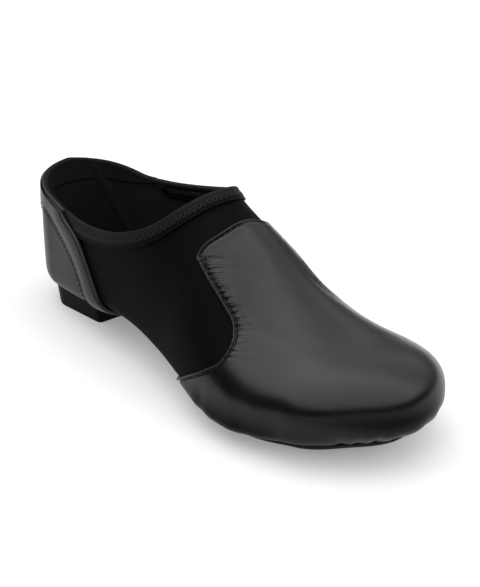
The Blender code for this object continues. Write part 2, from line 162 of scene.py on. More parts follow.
def outward(side, station):
    """The direction of a half section on the floor plan: back, then sideways, then forward."""
    heel = np.clip(station / HEEL_FAN, 0, 1)
    toe = np.clip((station - TOE_FAN) / (1 - TOE_FAN), 0, 1)
    angle = pi - (heel + toe) * pi / 2
    return np.cos(angle), side * np.sin(angle)


def form(side, station, level):
    """Points of the shoe's outer form. level is -1 under the foot, 0 at the widest and 1 at the ridge."""
    angle = np.abs(level) * pi / 2
    power = 2 / np.where(level < 0, column("low_power", station), column("high_power", station))
    reach = half_width(side, station) * np.maximum(np.cos(angle), 0)**power
    middle_x, middle_y = spine(station)
    along, across = outward(side, station)
    x, y = middle_x + along * reach, middle_y + across * reach
    end = np.where(level < 0, bottom_line(x), ridge_line(x))
    wide = column("wide_medial" if side == MEDIAL else "wide_lateral", station) * INSTEP_HEIGHT
    return np.stack([x, y, wide + (end - wide) * np.sin(angle)**power], axis=-1)


# A chart of the form: stations by shares of the girth, from the middle of the bottom (0) to the ridge (1)
CHART_STATIONS = 321
CHART_GIRTHS = 241
chart_station = np.linspace(0, 1, CHART_STATIONS)
chart_girth = np.linspace(0, 1, CHART_GIRTHS)


def distances(points):
    """Lengths along the last row of points, from its start."""
    steps = np.linalg.norm(np.diff(points, axis=-2), axis=-1)
    start = np.zeros(steps.shape[:-1] + (1,))
    return np.concatenate([start, np.cumsum(steps, axis=-1)], axis=-1)


def chart_levels(side):
    fine = np.sin(np.linspace(-pi / 2, pi / 2, 3 * CHART_GIRTHS))
    run = distances(form(side, chart_station[:, None], fine[None, :]))
    return np.array([np.interp(chart_girth * row[-1], row, fine) for row in run])


levels = {side: chart_levels(side) for side in SIDES}
net = {side: form(side, chart_station[:, None], levels[side]) for side in SIDES}


def chart_normals(side):
    """Outward normals over the chart. Across its edges the neighbours are the other side's."""
    own, other = net[side], net[-side]
    along, around = np.empty_like(own), np.empty_like(own)
    along[1:-1] = own[2:] - own[:-2]
    along[0] = own[1] - other[1]
    along[-1] = other[-2] - own[-2]
    around[:, 1:-1] = own[:, 2:] - own[:, :-2]
    around[:, 0] = own[:, 1] - other[:, 1]
    around[:, -1] = other[:, -2] - own[:, -2]
    normal = -side * np.cross(along, around)
    return normal / np.maximum(np.linalg.norm(normal, axis=-1, keepdims=True), 1e-15)


normals = {side: chart_normals(side) for side in SIDES}
for fan, edge, inner in ((chart_station <= HEEL_FAN, 0, 1), (chart_station >= TOE_FAN, 0, 1),
                         (chart_station <= HEEL_FAN, -1, -2), (chart_station >= TOE_FAN, -1, -2)):
    pole = sum(normals[side][fan, inner].sum(axis=0) for side in SIDES)
    for side in SIDES:
        normals[side][fan, edge] = pole / np.linalg.norm(pole)


def read_chart(table, station, girth):
    """Values of a chart between its stations and girths."""
    i = np.clip(station, 0, 1) * (CHART_STATIONS - 1)
    j = np.clip(girth, 0, 1) * (CHART_GIRTHS - 1)
    a = np.minimum(i.astype(int), CHART_STATIONS - 2)
    b = np.minimum(j.astype(int), CHART_GIRTHS - 2)
    u, v = i - a, j - b
    if table.ndim == 3:
        u, v = u[..., None], v[..., None]
    near = table[a, b] * (1 - v) + table[a, b + 1] * v
    far = table[a + 1, b] * (1 - v) + table[a + 1, b + 1] * v
    return near * (1 - u) + far * u


def normal_at(side, station, girth):
    n = read_chart(normals[side], station, girth)
    return n / np.linalg.norm(n, axis=-1, keepdims=True)


def skin(side, station, girth, depth=0.0):
    """Points at a depth under the form."""
    station, girth, depth = (np.asarray(a, float) for a in np.broadcast_arrays(station, girth, depth))
    level = read_chart(levels[side], station, girth)
    return form(side, station, level) - normal_at(side, station, girth) * depth[..., None]


def girth_at(side, station, height):
    """The girths at which sections reach some heights."""
    station, height = np.broadcast_arrays(np.asarray(station, float), np.asarray(height, float))
    z = net[side][..., 2]
    found = []
    for s, h in zip(np.clip(station, 0, 1).ravel() * (CHART_STATIONS - 1), height.ravel()):
        i = min(int(s), CHART_STATIONS - 2)
        profile = z[i] * (1 - s + i) + z[i + 1] * (s - i)
        found.append(np.interp(h, profile, chart_girth))
    return np.array(found).reshape(station.shape)


SIDE_ROUNDS = 8


def on_form(side, x, z):
    """The stations and girths of points drawn in the side view, which take a few rounds behind the heel."""
    station = HEEL_FAN + x / TOE_CENTRE * (TOE_FAN - HEEL_FAN)
    girth = girth_at(side, station, z)
    for _ in range(SIDE_ROUNDS):
        spot = skin(side, np.maximum(station, 0), girth)
        reach = np.maximum(np.hypot(spot[:, 0], spot[:, 1]), 1e-6)
        turned = HEEL_FAN * np.arccos(np.clip(-x / reach, 0, 1)) * 2 / pi
        station = np.where(x < 0, turned, station)
        girth = girth_at(side, station, z)
    return station, girth


def collar_height(side, station):
    name = "medial" if side == MEDIAL else "lateral"
    heights = [getattr(row, name) * row.height - COLLAR_FOLD for row in COLLAR]
    heights.append(ridge_line(spine(THROAT)[0]))
    return smooth([row.station for row in COLLAR] + [THROAT], heights, station)


def rim_girth(side, station):
    """The girth of the bootie's own edge, which is the ridge in front of the throat."""
    inside = np.minimum(station, THROAT)
    girth = girth_at(side, inside, collar_height(side, inside))
    return np.where(np.asarray(station) < THROAT, girth, 1.0)


EVEN_STEPS = 2000


def evenly(side, station, girth, count, crowd=()):
    """A line on the form as count points, evenly spaced along it or closer where crowd says so."""
    run = distances(skin(side, station, girth))
    share = np.linspace(0, 1, EVEN_STEPS)
    weight = np.ones(EVEN_STEPS)
    for start, end, times in crowd:
        weight[(share > start) & (share < end)] = times
    count_to = np.cumsum(weight) - weight[0]
    even = np.interp(np.linspace(0, count_to[-1], count), count_to, share) * run[-1]
    return np.interp(even, run, station), np.interp(even, run, girth)


MERGE = 0.000002


def weld(bm):
    """Joins points that lie on each other, and drops what that leaves without area."""
    bmesh.ops.remove_doubles(bm, verts=bm.verts, dist=MERGE)
    bmesh.ops.dissolve_degenerate(bm, edges=bm.edges, dist=MERGE)


def add_piece(name, mesh, *materials):
    """Adds a smooth piece to the shoe."""
    mesh.shade_smooth()
    for material in materials:
        mesh.materials.append(material)
    piece = bpy.data.objects.new(name, mesh)
    bpy.context.scene.collection.objects.link(piece)
    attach(piece, "root")
    return piece


def add_body(name, bm, *materials):
    """Adds a closed body to the shoe, with its faces turned outward."""
    bmesh.ops.recalc_face_normals(bm, faces=bm.faces)
    mesh = bpy.data.meshes.new(name)
    bm.to_mesh(mesh)
    bm.free()
    return add_piece(name, mesh, *materials)


def shell(name, patches, material, fields=(), inside=None):
    """One closed body from patches, each a side, a net of outer points, a net of inner ones and its fields.
    Patches that share an edge are joined there, and every edge left open is closed to the inner net. Inner
    faces have the inside's material, and so have outer ones from the column inside_from of a patch."""
    bm = bmesh.new()
    source = bm.verts.layers.int.new("source")
    layers = {f: bm.verts.layers.float.new(f) for f in fields}
    inner_points, values, count = [], {f: [] for f in fields}, 0
    for side, outer, inner, details in patches:
        rows, columns = outer.shape[:2]
        verts = []
        for k, point in enumerate(outer.reshape(-1, 3)):
            vert = bm.verts.new(point)
            vert[source] = count + k
            verts.append(vert)
        inner_points.append(inner.reshape(-1, 3))
        for f in fields:
            values[f].append(np.broadcast_to(details[f], (rows, columns)).ravel())
        count += rows * columns
        for i in range(rows - 1):
            for j in range(columns - 1):
                k = i * columns + j
                quad = (verts[k], verts[k + 1], verts[k + columns + 1], verts[k + columns])
                face = bm.faces.new(quad if side == MEDIAL else quad[::-1])
                face.material_index = int(j >= details.get("inside_from", columns))
    inner_points = np.concatenate(inner_points)
    for f in fields:
        flat = np.concatenate(values[f])
        for vert in bm.verts:
            vert[layers[f]] = flat[vert[source]]
    weld(bm)
    open_edges = [edge for edge in bm.edges if len(edge.link_faces) == 1]
    outer_faces = list(bm.faces)
    twin = {}
    for vert in list(bm.verts):
        made = bm.verts.new(inner_points[vert[source]])
        for f in fields:
            made[layers[f]] = vert[layers[f]]
        twin[vert] = made
    for face in outer_faces:
        made = bm.faces.new([twin[v] for v in reversed(face.verts)])
        made.material_index = 1 if inside else 0
    for edge in open_edges:
        loop = edge.link_loops[0]
        a, b = loop.vert, loop.link_loop_next.vert
        bm.faces.new((b, a, twin[a], twin[b]))
    bm.verts.layers.int.remove(source)
    return add_body(name, bm, *([material, inside] if inside else [material]))


class Socket:
    """A shader value, colour or vector, with arithmetic that adds the nodes."""

    def __init__(self, tree, socket):
        self.tree, self.socket = tree, socket

    def math(self, operation, *others):
        kind = "ShaderNodeVectorMath" if self.socket.type == "VECTOR" else "ShaderNodeMath"
        return self.tree.add(kind, {"operation": operation}, [self, *others])

    def dot(self, way):
        settings = {"operation": "DOT_PRODUCT"}
        return self.tree.add("ShaderNodeVectorMath", settings, [self, way], output="Value")

    def __add__(self, other):
        return self.math("ADD", other)

    def __mul__(self, other):
        return self.math("MULTIPLY", other)

    def __sub__(self, other):
        return self.math("SUBTRACT", other)

    def __rsub__(self, other):
        return self.tree.add("ShaderNodeMath", {"operation": "SUBTRACT"}, [other, self])

    __radd__ = __add__
    __rmul__ = __mul__


class Tree:
    """A node tree and the one way in which its nodes are added."""

    def __init__(self, owner):
        owner.use_nodes = True
        self.nodes, self.links = owner.node_tree.nodes, owner.node_tree.links

    def add(self, kind, settings=None, inputs=(), output=0):
        node = self.nodes.new(kind)
        for name, value in (settings or {}).items():
            setattr(node, name, value)
        pairs = inputs.items() if isinstance(inputs, dict) else enumerate(inputs)
        for name, value in pairs:
            if isinstance(value, Socket):
                self.links.new(value.socket, node.inputs[name])
            else:
                node.inputs[name].default_value = value
        return Socket(self, node.outputs[output])

    def between(self, value, low, high, to_low=0.0, to_high=1.0, kind="LINEAR"):
        """A value that goes from to_low to to_high while another goes from low to high."""
        inputs = {"Value": value, "From Min": low, "From Max": high, "To Min": to_low, "To Max": to_high}
        return self.add("ShaderNodeMapRange", {"interpolation_type": kind}, inputs)


class Material(Tree):
    """A Principled material with its own patterns."""

    def __init__(self, name, colour, roughness, **constants):
        self.material = bpy.data.materials.new(name)
        super().__init__(self.material)
        self.shader = self.nodes["Principled BSDF"]
        self.set("Base Color", (*colour, 1))
        self.set("Roughness", roughness)
        for socket, value in constants.items():
            self.set(socket.replace("_", " "), value)

    def set(self, name, value):
        self.shader.inputs[name].default_value = value

    def feed(self, name, value):
        self.links.new(value.socket, self.shader.inputs[name])

    def place(self):
        return self.add("ShaderNodeTexCoord", output="Object")

    def field(self, name):
        return self.add("ShaderNodeAttribute", {"attribute_name": name}, output="Fac")

    def noise(self, size, detail=2.0, roughness=0.5):
        """Cloudy noise whose patches are about size metres across."""
        inputs = {"Vector": self.place(), "Scale": 1 / size, "Detail": detail, "Roughness": roughness}
        return self.add("ShaderNodeTexNoise", None, inputs)

    def cells(self, size, feature="F1"):
        inputs = {"Vector": self.place(), "Scale": 1 / size}
        return self.add("ShaderNodeTexVoronoi", {"feature": feature}, inputs)

    def mix(self, factor, one, two):
        inputs = {0: factor, 6: (*one, 1), 7: (*two, 1)}
        return self.add("ShaderNodeMix", {"data_type": "RGBA"}, inputs, output=2)

    def relief(self, height, depth=1.0):
        """Bump on which a height of 1 stands for depth metres."""
        bump = self.add("ShaderNodeBump", None, {"Height": height, "Distance": depth, "Strength": 1.0})
        self.feed("Normal", bump)
        return bump

    def show(self, shader):
        """Shows another shader in place of the Principled one."""
        self.links.new(shader.socket, self.nodes["Material Output"].inputs["Surface"])


BOOTIE_STATIONS = 210
BOOTIE_ROWS = 70
THROAT_STATIONS = 14
THROAT_SHARE = 0.05
LOOP_LENGTH = 0.0006
LOOP_WIDTH = 0.0005
LOOP_DEPTH = 0.00004
RIM_WALL = 0.0011
RIM_TAPER = 0.014
RIM_FADE = 0.03
# The welt's line as stations and girths, from its foot up
WELT_LINE = ((0.130, 0.10), (0.097, 0.263), (0.078, 0.333), (0.062, 0.396), (0.050, 0.446), (0.041, 0.480))
WELT_SCALE = 0.35
WELT_WIDTH = 0.0028
WELT_RISE = 0.0011
WELT_FOOT = 0.05
WELT_TOP = 0.03


def knit_faced():
    """Fine jersey over neoprene: rows of tiny loops, matte, with a faint bloom."""
    m = Material("neoprene_knit", (0.0014, 0.0014, 0.0015), 0.6, Specular_IOR_Level=0.035)
    along = m.field("along") * (2 * pi / LOOP_LENGTH)
    around = m.field("around") * (2 * pi / LOOP_WIDTH)
    m.relief(along.math("SINE") * around.math("SINE") * 0.5 + 0.5, LOOP_DEPTH)
    return m.material


def fleece_lining():
    m = Material("fleece_lining", (0.007, 0.007, 0.0074), 0.95, Specular_IOR_Level=0.10)
    m.relief(m.noise(0.0006, 4.0, 0.7), 0.0001)
    return m.material


def eased(share):
    """A share from 0 to 1 with a soft start and a soft end."""
    share = np.clip(share, 0, 1)
    return share * share * (3 - 2 * share)


def hump(distance, place, width):
    """A soft hump along a distance: 1 at its place, and nothing well away from it."""
    return np.exp(-((distance - place) / width)**2)


def wall(below, station):
    """The bootie's thickness, which is pressed thin under the folded edges."""
    behind_throat = np.clip((THROAT + RIM_FADE - station) / RIM_FADE, 0, 1)
    thin = eased(np.clip(1 - below / RIM_TAPER, 0, 1) * behind_throat)
    return WALL - (WALL - RIM_WALL) * thin


def inner_welt(station, girth):
    """A soft ridge in the lining where the counter's stiffening ends."""
    line = np.interp(girth, [g for _, g in WELT_LINE], [s for s, _ in WELT_LINE])
    rise = WELT_RISE * hump((station - line) * WELT_SCALE, 0, WELT_WIDTH)
    top = np.clip((WELT_LINE[-1][1] + WELT_TOP - girth) / WELT_TOP, 0, 1)
    return rise * top * np.clip((girth - WELT_FOOT) / WELT_FOOT, 0, 1)


def bootie_patch(side):
    far = np.linspace(0, 1, BOOTIE_STATIONS)
    near = THROAT - THROAT_SHARE * np.linspace(0, 1, THROAT_STATIONS)**2
    clear = (far < near[-1]) | (far > THROAT + 1 / BOOTIE_STATIONS)
    station = np.sort(np.concatenate([far[clear], near]))[:, None]
    girth = np.linspace(0, 1, BOOTIE_ROWS)[None, :] * rim_girth(side, station[:, 0])[:, None]
    station = np.broadcast_to(station, girth.shape)
    outer = skin(side, station, girth, UPPER_DEPTH)
    around = distances(outer)
    below = np.where(station < THROAT, around[:, -1:] - around, RIM_TAPER * 2)
    thickness = wall(below, station) + inner_welt(station, girth)
    inner = skin(side, station, girth, UPPER_DEPTH + thickness)
    return side, outer, inner, {"along": outer[..., 0], "around": around}


fleece = fleece_lining()
bootie = shell("bootie", [bootie_patch(side) for side in SIDES], knit_faced(), ("along", "around"), fleece)
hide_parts("upper")

# The vamp: one piece of soft, smooth leather over the forefoot. Its back edge is folded under and held by a
# running stitch that gathers the leather round the bulge of the seam, and its lower edge is pleated in
# under the toe, where the sole holds it.
VAMP_COLOUR = (0.0026, 0.0026, 0.0027)
# The seam in the side view, as shares of the length and of the instep's height, from the ridge down
VAMP_SEAM = (
    (0.468, 1.050), (0.4695, 0.893), (0.466, 0.855), (0.459, 0.820), (0.4568, 0.788), (0.4588, 0.757),
    (0.469, 0.739), (0.506, 0.673), (0.549, 0.590), (0.583, 0.515), (0.596, 0.460), (0.593, 0.390),
    (0.570, 0.335), (0.504, 0.205), (0.440, 0.070), (0.400, -0.100))
VAMP_ROWS = 230
VAMP_COLUMNS = 96
VAMP_CROWDING = 1.7
CROWDED_ROWS = ((0.13, 0.50, 2.6),)
SEAM_POINTS = 600
HEADING_SPAN = 13
SEARCH_PARTS = 40
STATION_METRES = TOE_CENTRE / (TOE_FAN - HEEL_FAN)
GIRTH_METRES = 0.110
SQUARENESS = 0.8
VAMP_TURN = 0.86
TURNED_SHARE = 0.65
# By shares along the seam, the girth at which a row reaches the toe, and how far it runs on from the seam
VAMP_TIPS = (
    (0.0, 1.0), (0.08, 0.975), (0.17, 0.93), (0.30, 0.82), (0.42, 0.64), (0.55, 0.44), (0.75, 0.20),
    (1.0, 0.0))
VAMP_LEADS = (
    (0.0, 0.018), (0.10, 0.010), (0.18, 0.0045), (0.24, 0.005), (0.31, 0.007), (0.42, 0.014), (1.0, 0.020))
# What is stitched, gathered and wrinkled shows less on the medial side
MEDIAL_STRENGTH = 0.15
MEDIAL_CREASES = 0.3
FOLD_RADIUS = 0.0008
STITCH_INSET = 0.0017
FIRST_STITCH = 0.001
VAMP_STITCH_LENGTH = 0.0027
VAMP_STITCH_PITCH = 0.0033
STITCH_SHARE = 0.82                   # of the pitch, that a stitch covers
GROOVE_DEPTH = 0.0010
GROOVE_WIDTH = 0.00055
BEAD_RISE = 0.00030
BEAD_PLACE = 0.0008
BEAD_WIDTH = 0.0005
LIP_RISE = 0.00035
LIP_PLACE = 0.0034
LIP_WIDTH = 0.0012
LIP_FADE = 0.03
GATHER_START = 0.172
GATHER_END = 0.50
GATHER_EASE = 0.02
GATHER_FADE = 0.10
GATHER_LEAST = 0.65
GATHER_PITCH = 0.0026
WIDE_PITCH = GATHER_PITCH * 1.7
PIT_DEPTH = 0.00090
PIT_PLACE = 0.0006
PIT_WIDTH = 0.0011
PUFF_RISE = 0.00035
PUFF_PLACE = 0.0016
PUFF_WIDTH = 0.0016
FOLD_DEPTH = 0.00038
FOLD_REACH = 0.0045
FOLD_START = 0.0008
WIDE_DEPTH = 0.00030
WIDE_REACH = 0.0080
WRINKLE_DEPTH = 0.00016
WRINKLE_PITCH = 0.0015
WRINKLE_REACH = 0.0050
WRINKLE_START = 0.0010
# By shares along the seam, how much the folds and wrinkles lean along it for every metre away from it
WRINKLE_LEANS = ((0.17, -0.60), (0.25, -0.50), (0.36, -0.25), (0.46, 0.30), (0.50, 0.45))
Crease = namedtuple("Crease", "station girth lean reach width depth")
VAMP_CREASES = (
    Crease(0.640, 0.860, -0.5, 0.020, 0.0032, 0.00035), Crease(0.668, 0.830, -0.3, 0.016, 0.0030, 0.00030),
    Crease(0.700, 0.800, -0.9, 0.018, 0.0034, 0.00030), Crease(0.735, 0.760, -0.6, 0.020, 0.0036, 0.00032),
    Crease(0.655, 0.905, 0.7, 0.014, 0.0032, 0.00025), Crease(0.765, 0.820, 0.3, 0.018, 0.0040, 0.00028),
    Crease(0.620, 0.930, 0.2, 0.014, 0.0030, 0.00025))
CREASE_BOW = 0.12
# Round the toe, a place is how far a station lies from the tip, and it is below 0 on the lateral side
Swell = namedtuple("Swell", "place reach height spread rise")
TOE_SWELLS = (
    Swell(-0.290, 0.085, 0.0095, 0.0050, 0.0016),
    Swell(-0.018, 0.055, 0.0200, 0.0042, 0.0014))
Pleat = namedtuple("Pleat", "place width depth")
TOE_PLEATS = (
    Pleat(-0.312, 0.0060, 0.0003), Pleat(-0.215, 0.0080, 0.0003), Pleat(-0.080, 0.0060, 0.0005),
    Pleat(-0.058, 0.0050, 0.0003), Pleat(-0.036, 0.0045, 0.0007), Pleat(-0.012, 0.0060, 0.0003),
    Pleat(0.022, 0.0050, 0.0006), Pleat(0.050, 0.0060, 0.0004), Pleat(0.085, 0.0070, 0.0004))
PLEAT_TOP = 0.024
PLEAT_FADE = 0.008
# Painted shade on the vamp: its gloss is turned down along the toe's front wall, about the place and height
# below, and everywhere under the lower of the two fade heights.
SHADE_DULL_PLACE = -0.02
SHADE_DULL_REACH = 0.12
SHADE_DULL_HEIGHT = 0.0245
SHADE_DULL_SPREAD = 0.0052
PAINTED_SHADE_FADE = (0.012, 0.022)


def side_curve(points):
    """A seam of the side view as a smooth curve of many points, in metres."""
    drawn = np.array(points) * (LENGTH, INSTEP_HEIGHT)
    run = distances(drawn)
    fine = np.linspace(0, run[-1], SEAM_POINTS)
    return smooth(run, drawn[:, 0], fine), smooth(run, drawn[:, 1], fine)


def seam(side, points, count, crowd=()):
    """A seam as stations and girths, from the ridge or the back down to the middle of the bottom."""
    station, girth = on_form(side, *side_curve(points))
    first = np.nonzero((girth >= 1) | (station <= 0))[0]
    last = np.nonzero(girth <= 0)[0]
    start = first[-1] if len(first) else 0
    end = last[0] + 1 if len(last) else len(girth)
    return evenly(side, station[start:end], girth[start:end], count, crowd)


def rolled(distance, radius):
    """How far a rounded edge falls away, at distances from the edge."""
    short = np.clip(radius - distance, 0, radius)
    return radius - np.sqrt(radius**2 - short**2)


def dyed_leather(name, colour, roughness, gloss):
    """Dyed leather, whose finish is a little uneven."""
    m = Material(name, colour, roughness, Specular_IOR_Level=gloss)
    clouds = m.noise(0.012, 4.0, 0.55)
    m.feed("Roughness", m.between(clouds, 0.3, 0.7, roughness - 0.03, roughness + 0.04))
    return m


def leather_grain(m):
    """The height of fine pebbles and pores, in metres."""
    pebbles = m.between(m.cells(0.0007, "SMOOTH_F1"), 0.0, 0.8)
    pores = m.noise(0.00025, 3.0, 0.6)
    return (pebbles * 0.6 + pores * 0.4) * 0.000018


def soft_leather(name, colour, roughness, gloss):
    """Smooth dyed leather under a thin finish."""
    m = dyed_leather(name, colour, roughness, gloss)
    m.relief(leather_grain(m))
    return m.material


def vamp_leather():
    """Polished leather, wrinkled where the seam gathers it, with painted shade low on the toe and under it,
    where its gloss is turned down so that it reflects almost nothing.
    """
    m = dyed_leather("vamp_leather", VAMP_COLOUR, 0.25, 0.33)
    drift = m.noise(0.004, 2.0, 0.5) * 3.0
    wrinkles = (m.field("wrinkle_phase") * (2 * pi) + drift).math("SINE") * m.field("wrinkle_size")
    bump = m.relief(leather_grain(m) + wrinkles)
    # Painted shade: a nearly glossless copy of the leather, shown low on the toe and under it.
    painted_shade_dull = m.add("ShaderNodeBsdfPrincipled", None, {
        "Base Color": (*VAMP_COLOUR, 1), "Roughness": 0.3, "Specular IOR Level": 0.04, "Normal": bump})
    height = m.add("ShaderNodeSeparateXYZ", None, [m.place()], output="Z")
    gloss_left_unshaded = m.between(height, *PAINTED_SHADE_FADE) * (1 - m.field("painted_shade_dull") * 0.95)
    m.show(m.add("ShaderNodeMixShader", None, [gloss_left_unshaded, painted_shade_dull, Socket(m, m.shader.outputs[0])]))
    return m.material


def heading(across, along):
    """Directions from a seam into its piece in the chart, where along and across are in metres."""
    turned = np.arctan2(np.gradient(along), -np.gradient(across))
    kernel = np.hanning(HEADING_SPAN)
    ends = HEADING_SPAN // 2
    padded = np.concatenate([np.full(ends, turned[0]), turned, np.full(ends, turned[-1])])
    return np.convolve(padded, kernel / kernel.sum(), mode="valid")


def near_seam(points, line):
    """For each point of a net, the distance to a seam's line and how far along the line its foot lies."""
    run = distances(line)
    away, place = [], []
    for part in np.array_split(points.reshape(-1, 3), SEARCH_PARTS):
        apart = np.linalg.norm(part[:, None] - line[None], axis=-1)
        nearest = np.clip(apart.argmin(axis=1), 1, len(line) - 2)
        best = np.full(len(part), np.inf)
        foot = np.zeros(len(part))
        for first in (nearest - 1, nearest):
            a, b = line[first], line[first + 1]
            share = np.clip(((part - a) * (b - a)).sum(axis=-1) / ((b - a)**2).sum(axis=-1), 0, 1)
            gap = np.linalg.norm(a + (b - a) * share[:, None] - part, axis=-1)
            closer = gap < best
            best = np.where(closer, gap, best)
            foot = np.where(closer, run[first] + share * (run[first + 1] - run[first]), foot)
        away.append(best)
        place.append(foot)
    shape = points.shape[:-1]
    return np.concatenate(away).reshape(shape), np.concatenate(place).reshape(shape)


def vamp_net(side):
    """Rows that leave the seam squarely and turn towards the toe."""
    edge_station, edge_girth = seam(side, VAMP_SEAM, VAMP_ROWS, CROWDED_ROWS)
    run = distances(skin(side, edge_station, edge_girth))
    run = run / run[-1]
    tip = smooth([share for share, _ in VAMP_TIPS], [girth for _, girth in VAMP_TIPS], run)
    turn = heading(edge_girth * GIRTH_METRES, edge_station * STATION_METRES) * SQUARENESS
    lead = smooth([share for share, _ in VAMP_LEADS], [reach for _, reach in VAMP_LEADS], run)
    ahead = np.stack([np.cos(turn) * lead / STATION_METRES, np.sin(turn) * lead / GIRTH_METRES], axis=-1)
    start = np.stack([edge_station, edge_girth], axis=-1)
    turned = edge_girth * (1 - TURNED_SHARE) + tip * TURNED_SHARE
    come = np.stack([np.full(VAMP_ROWS, VAMP_TURN), turned], axis=-1)
    end = np.stack([np.ones(VAMP_ROWS), tip], axis=-1)
    start, leave, come, end = (points[:, None] for points in (start, start + ahead, come, end))
    t = (np.linspace(0, 1, VAMP_COLUMNS)**VAMP_CROWDING)[None, :, None]
    spot = start * (1 - t)**3 + leave * 3 * t * (1 - t)**2 + come * 3 * t**2 * (1 - t) + end * t**3
    station, girth = spot[..., 0], np.clip(spot[..., 1], 0, 1)
    girth[0], girth[-1] = 1.0, 0.0
    return station, girth


def waves(place, pitch, seed, spread):
    """A wave of uneven pitch along a place, from -1 to 1."""
    drift = np.sin(place / pitch * 1.7 + seed) + 0.6 * np.sin(place / pitch * 0.73 + 2.1 * seed)
    return np.cos(2 * pi * place / pitch + spread * 2 * pi * drift)


def gathered(share):
    """How tightly the seam gathers the leather at a share of its length."""
    tightens = np.clip((share - GATHER_START) / GATHER_EASE, 0, 1)
    loosens = np.clip((GATHER_END - share) / GATHER_FADE, 0, 1)
    left = np.clip((GATHER_END - share) / (GATHER_END - GATHER_START), 0, 1)
    return tightens * loosens * (GATHER_LEAST + (1 - GATHER_LEAST) * left)


def leaning(share):
    """How much the wrinkles lean at a share of the seam's length."""
    return np.interp(share, [s for s, _ in WRINKLE_LEANS], [lean for _, lean in WRINKLE_LEANS])


def gathers(beyond, place, share):
    """Leather puffed up between the tight stitches of the seam's corner, with folds running out of it."""
    along = place + leaning(share) * beyond
    pinch = waves(along, GATHER_PITCH, 1.0, 0.10)
    wide = waves(along, WIDE_PITCH, 3.0, 0.25)
    pits = PIT_DEPTH * np.clip((pinch - 0.40) / 0.60, 0, 1) * hump(beyond, PIT_PLACE, PIT_WIDTH)
    puffs = PUFF_RISE * (1 - pinch) / 2 * hump(beyond, PUFF_PLACE, PUFF_WIDTH)
    folds = FOLD_DEPTH * pinch * np.exp(-beyond / FOLD_REACH)
    folds = folds + WIDE_DEPTH * wide * np.exp(-beyond / WIDE_REACH)
    return gathered(share) * (pits - puffs + folds * np.clip(beyond / FOLD_START, 0, 1))


def creases(side, station, girth):
    """Soft hollows where the vamp bends across the ball."""
    fall = np.zeros(station.shape)
    for crease in VAMP_CREASES:
        u = (station - crease.station) * STATION_METRES
        v = (girth - crease.girth) * GIRTH_METRES
        along = u * cos(crease.lean) + v * sin(crease.lean)
        across = v * cos(crease.lean) - u * sin(crease.lean) - CREASE_BOW * along**2 / crease.reach
        fall += crease.depth * hump(along, 0, crease.reach) * hump(across, 0, crease.width)
    if side == MEDIAL:
        fall *= MEDIAL_CREASES + (1 - MEDIAL_CREASES) * np.clip((girth - 0.93) / 0.07, 0, 1)
    return fall


def toe_form(side, station, height):
    """The vamp's fullness above its lasted edge and the pleats that draw it in under the toe."""
    place = side * (1 - station)
    fall = np.zeros(station.shape)
    for swell in TOE_SWELLS:
        round_toe = hump(place, swell.place, swell.reach)
        fall -= swell.rise * round_toe * hump(height, swell.height, swell.spread)
    metres = np.where(station > TOE_FAN, TOE_RADIUS * pi / 2 / (1 - TOE_FAN), STATION_METRES)
    low = np.clip((PLEAT_TOP - height) / PLEAT_FADE, 0, 1)
    for pleat in TOE_PLEATS:
        apart = (place - pleat.place) * metres / (pleat.width / 2)
        fall += pleat.depth * low * (hump(apart, 0, 1) - 0.45 * hump(np.abs(apart), 1.7, 1))
    return fall


def dashes(place):
    """1 along each stitch of the vamp's seam and 0 between them."""
    turn = 2 * pi * (place - FIRST_STITCH) / VAMP_STITCH_PITCH
    middle = pi * STITCH_SHARE
    return 0.5 + 0.5 * np.tanh(4 * (0.55 + np.cos(turn - middle)))


def vamp_relief(side, station, girth):
    """How deep the vamp's surface lies under the form, and what its leather reads: the phase and the size
    of the fine wrinkles, and how much painted shade turns its gloss down."""
    flat = skin(side, station, girth)
    height = flat[..., 2]
    away, place = near_seam(flat, flat[:, 0])
    share = place / distances(flat[:, 0])[-1]
    beyond = np.clip(away - STITCH_INSET, 0, 1)
    strength = 1.0 if side == LATERAL else MEDIAL_STRENGTH
    groove = GROOVE_DEPTH * (0.75 + 0.25 * dashes(place)) * hump(away, STITCH_INSET, GROOVE_WIDTH)
    groove = groove * (1 - 0.45 * gathered(share)) * (0.4 + 0.6 * strength)
    bead = BEAD_RISE * hump(away, BEAD_PLACE, BEAD_WIDTH)
    lip = LIP_RISE * hump(away, LIP_PLACE, LIP_WIDTH)
    lip = lip * np.clip((GATHER_START + LIP_FADE / 3 - share) / LIP_FADE, 0, 1)
    fall = rolled(away, FOLD_RADIUS) + groove - (bead + lip) * strength
    fall += strength * gathers(beyond, place, share) + creases(side, station, girth)
    fall += toe_form(side, station, height)
    phase = (place + leaning(share) * away) / WRINKLE_PITCH
    size = WRINKLE_DEPTH * strength * gathered(share) * np.exp(-beyond / WRINKLE_REACH)
    size = size * np.clip(beyond / WRINKLE_START, 0, 1)
    # Where painted shade turns the gloss down: a band along the toe's front wall.
    painted_shade_dull = hump(side * (1 - station), SHADE_DULL_PLACE, SHADE_DULL_REACH) * hump(height, SHADE_DULL_HEIGHT, SHADE_DULL_SPREAD)
    return np.minimum(fall, LEATHER - 0.0001), phase, size, painted_shade_dull


RIDGE_ROW, BOTTOM_ROW, TOE_COLUMN = (0, slice(None)), (-1, slice(None)), (slice(None), -1)


def share_edges(one, two, edges):
    """Gives both sides the same values where their nets meet."""
    for edge in edges:
        one[edge] = two[edge] = (one[edge] + two[edge]) / 2


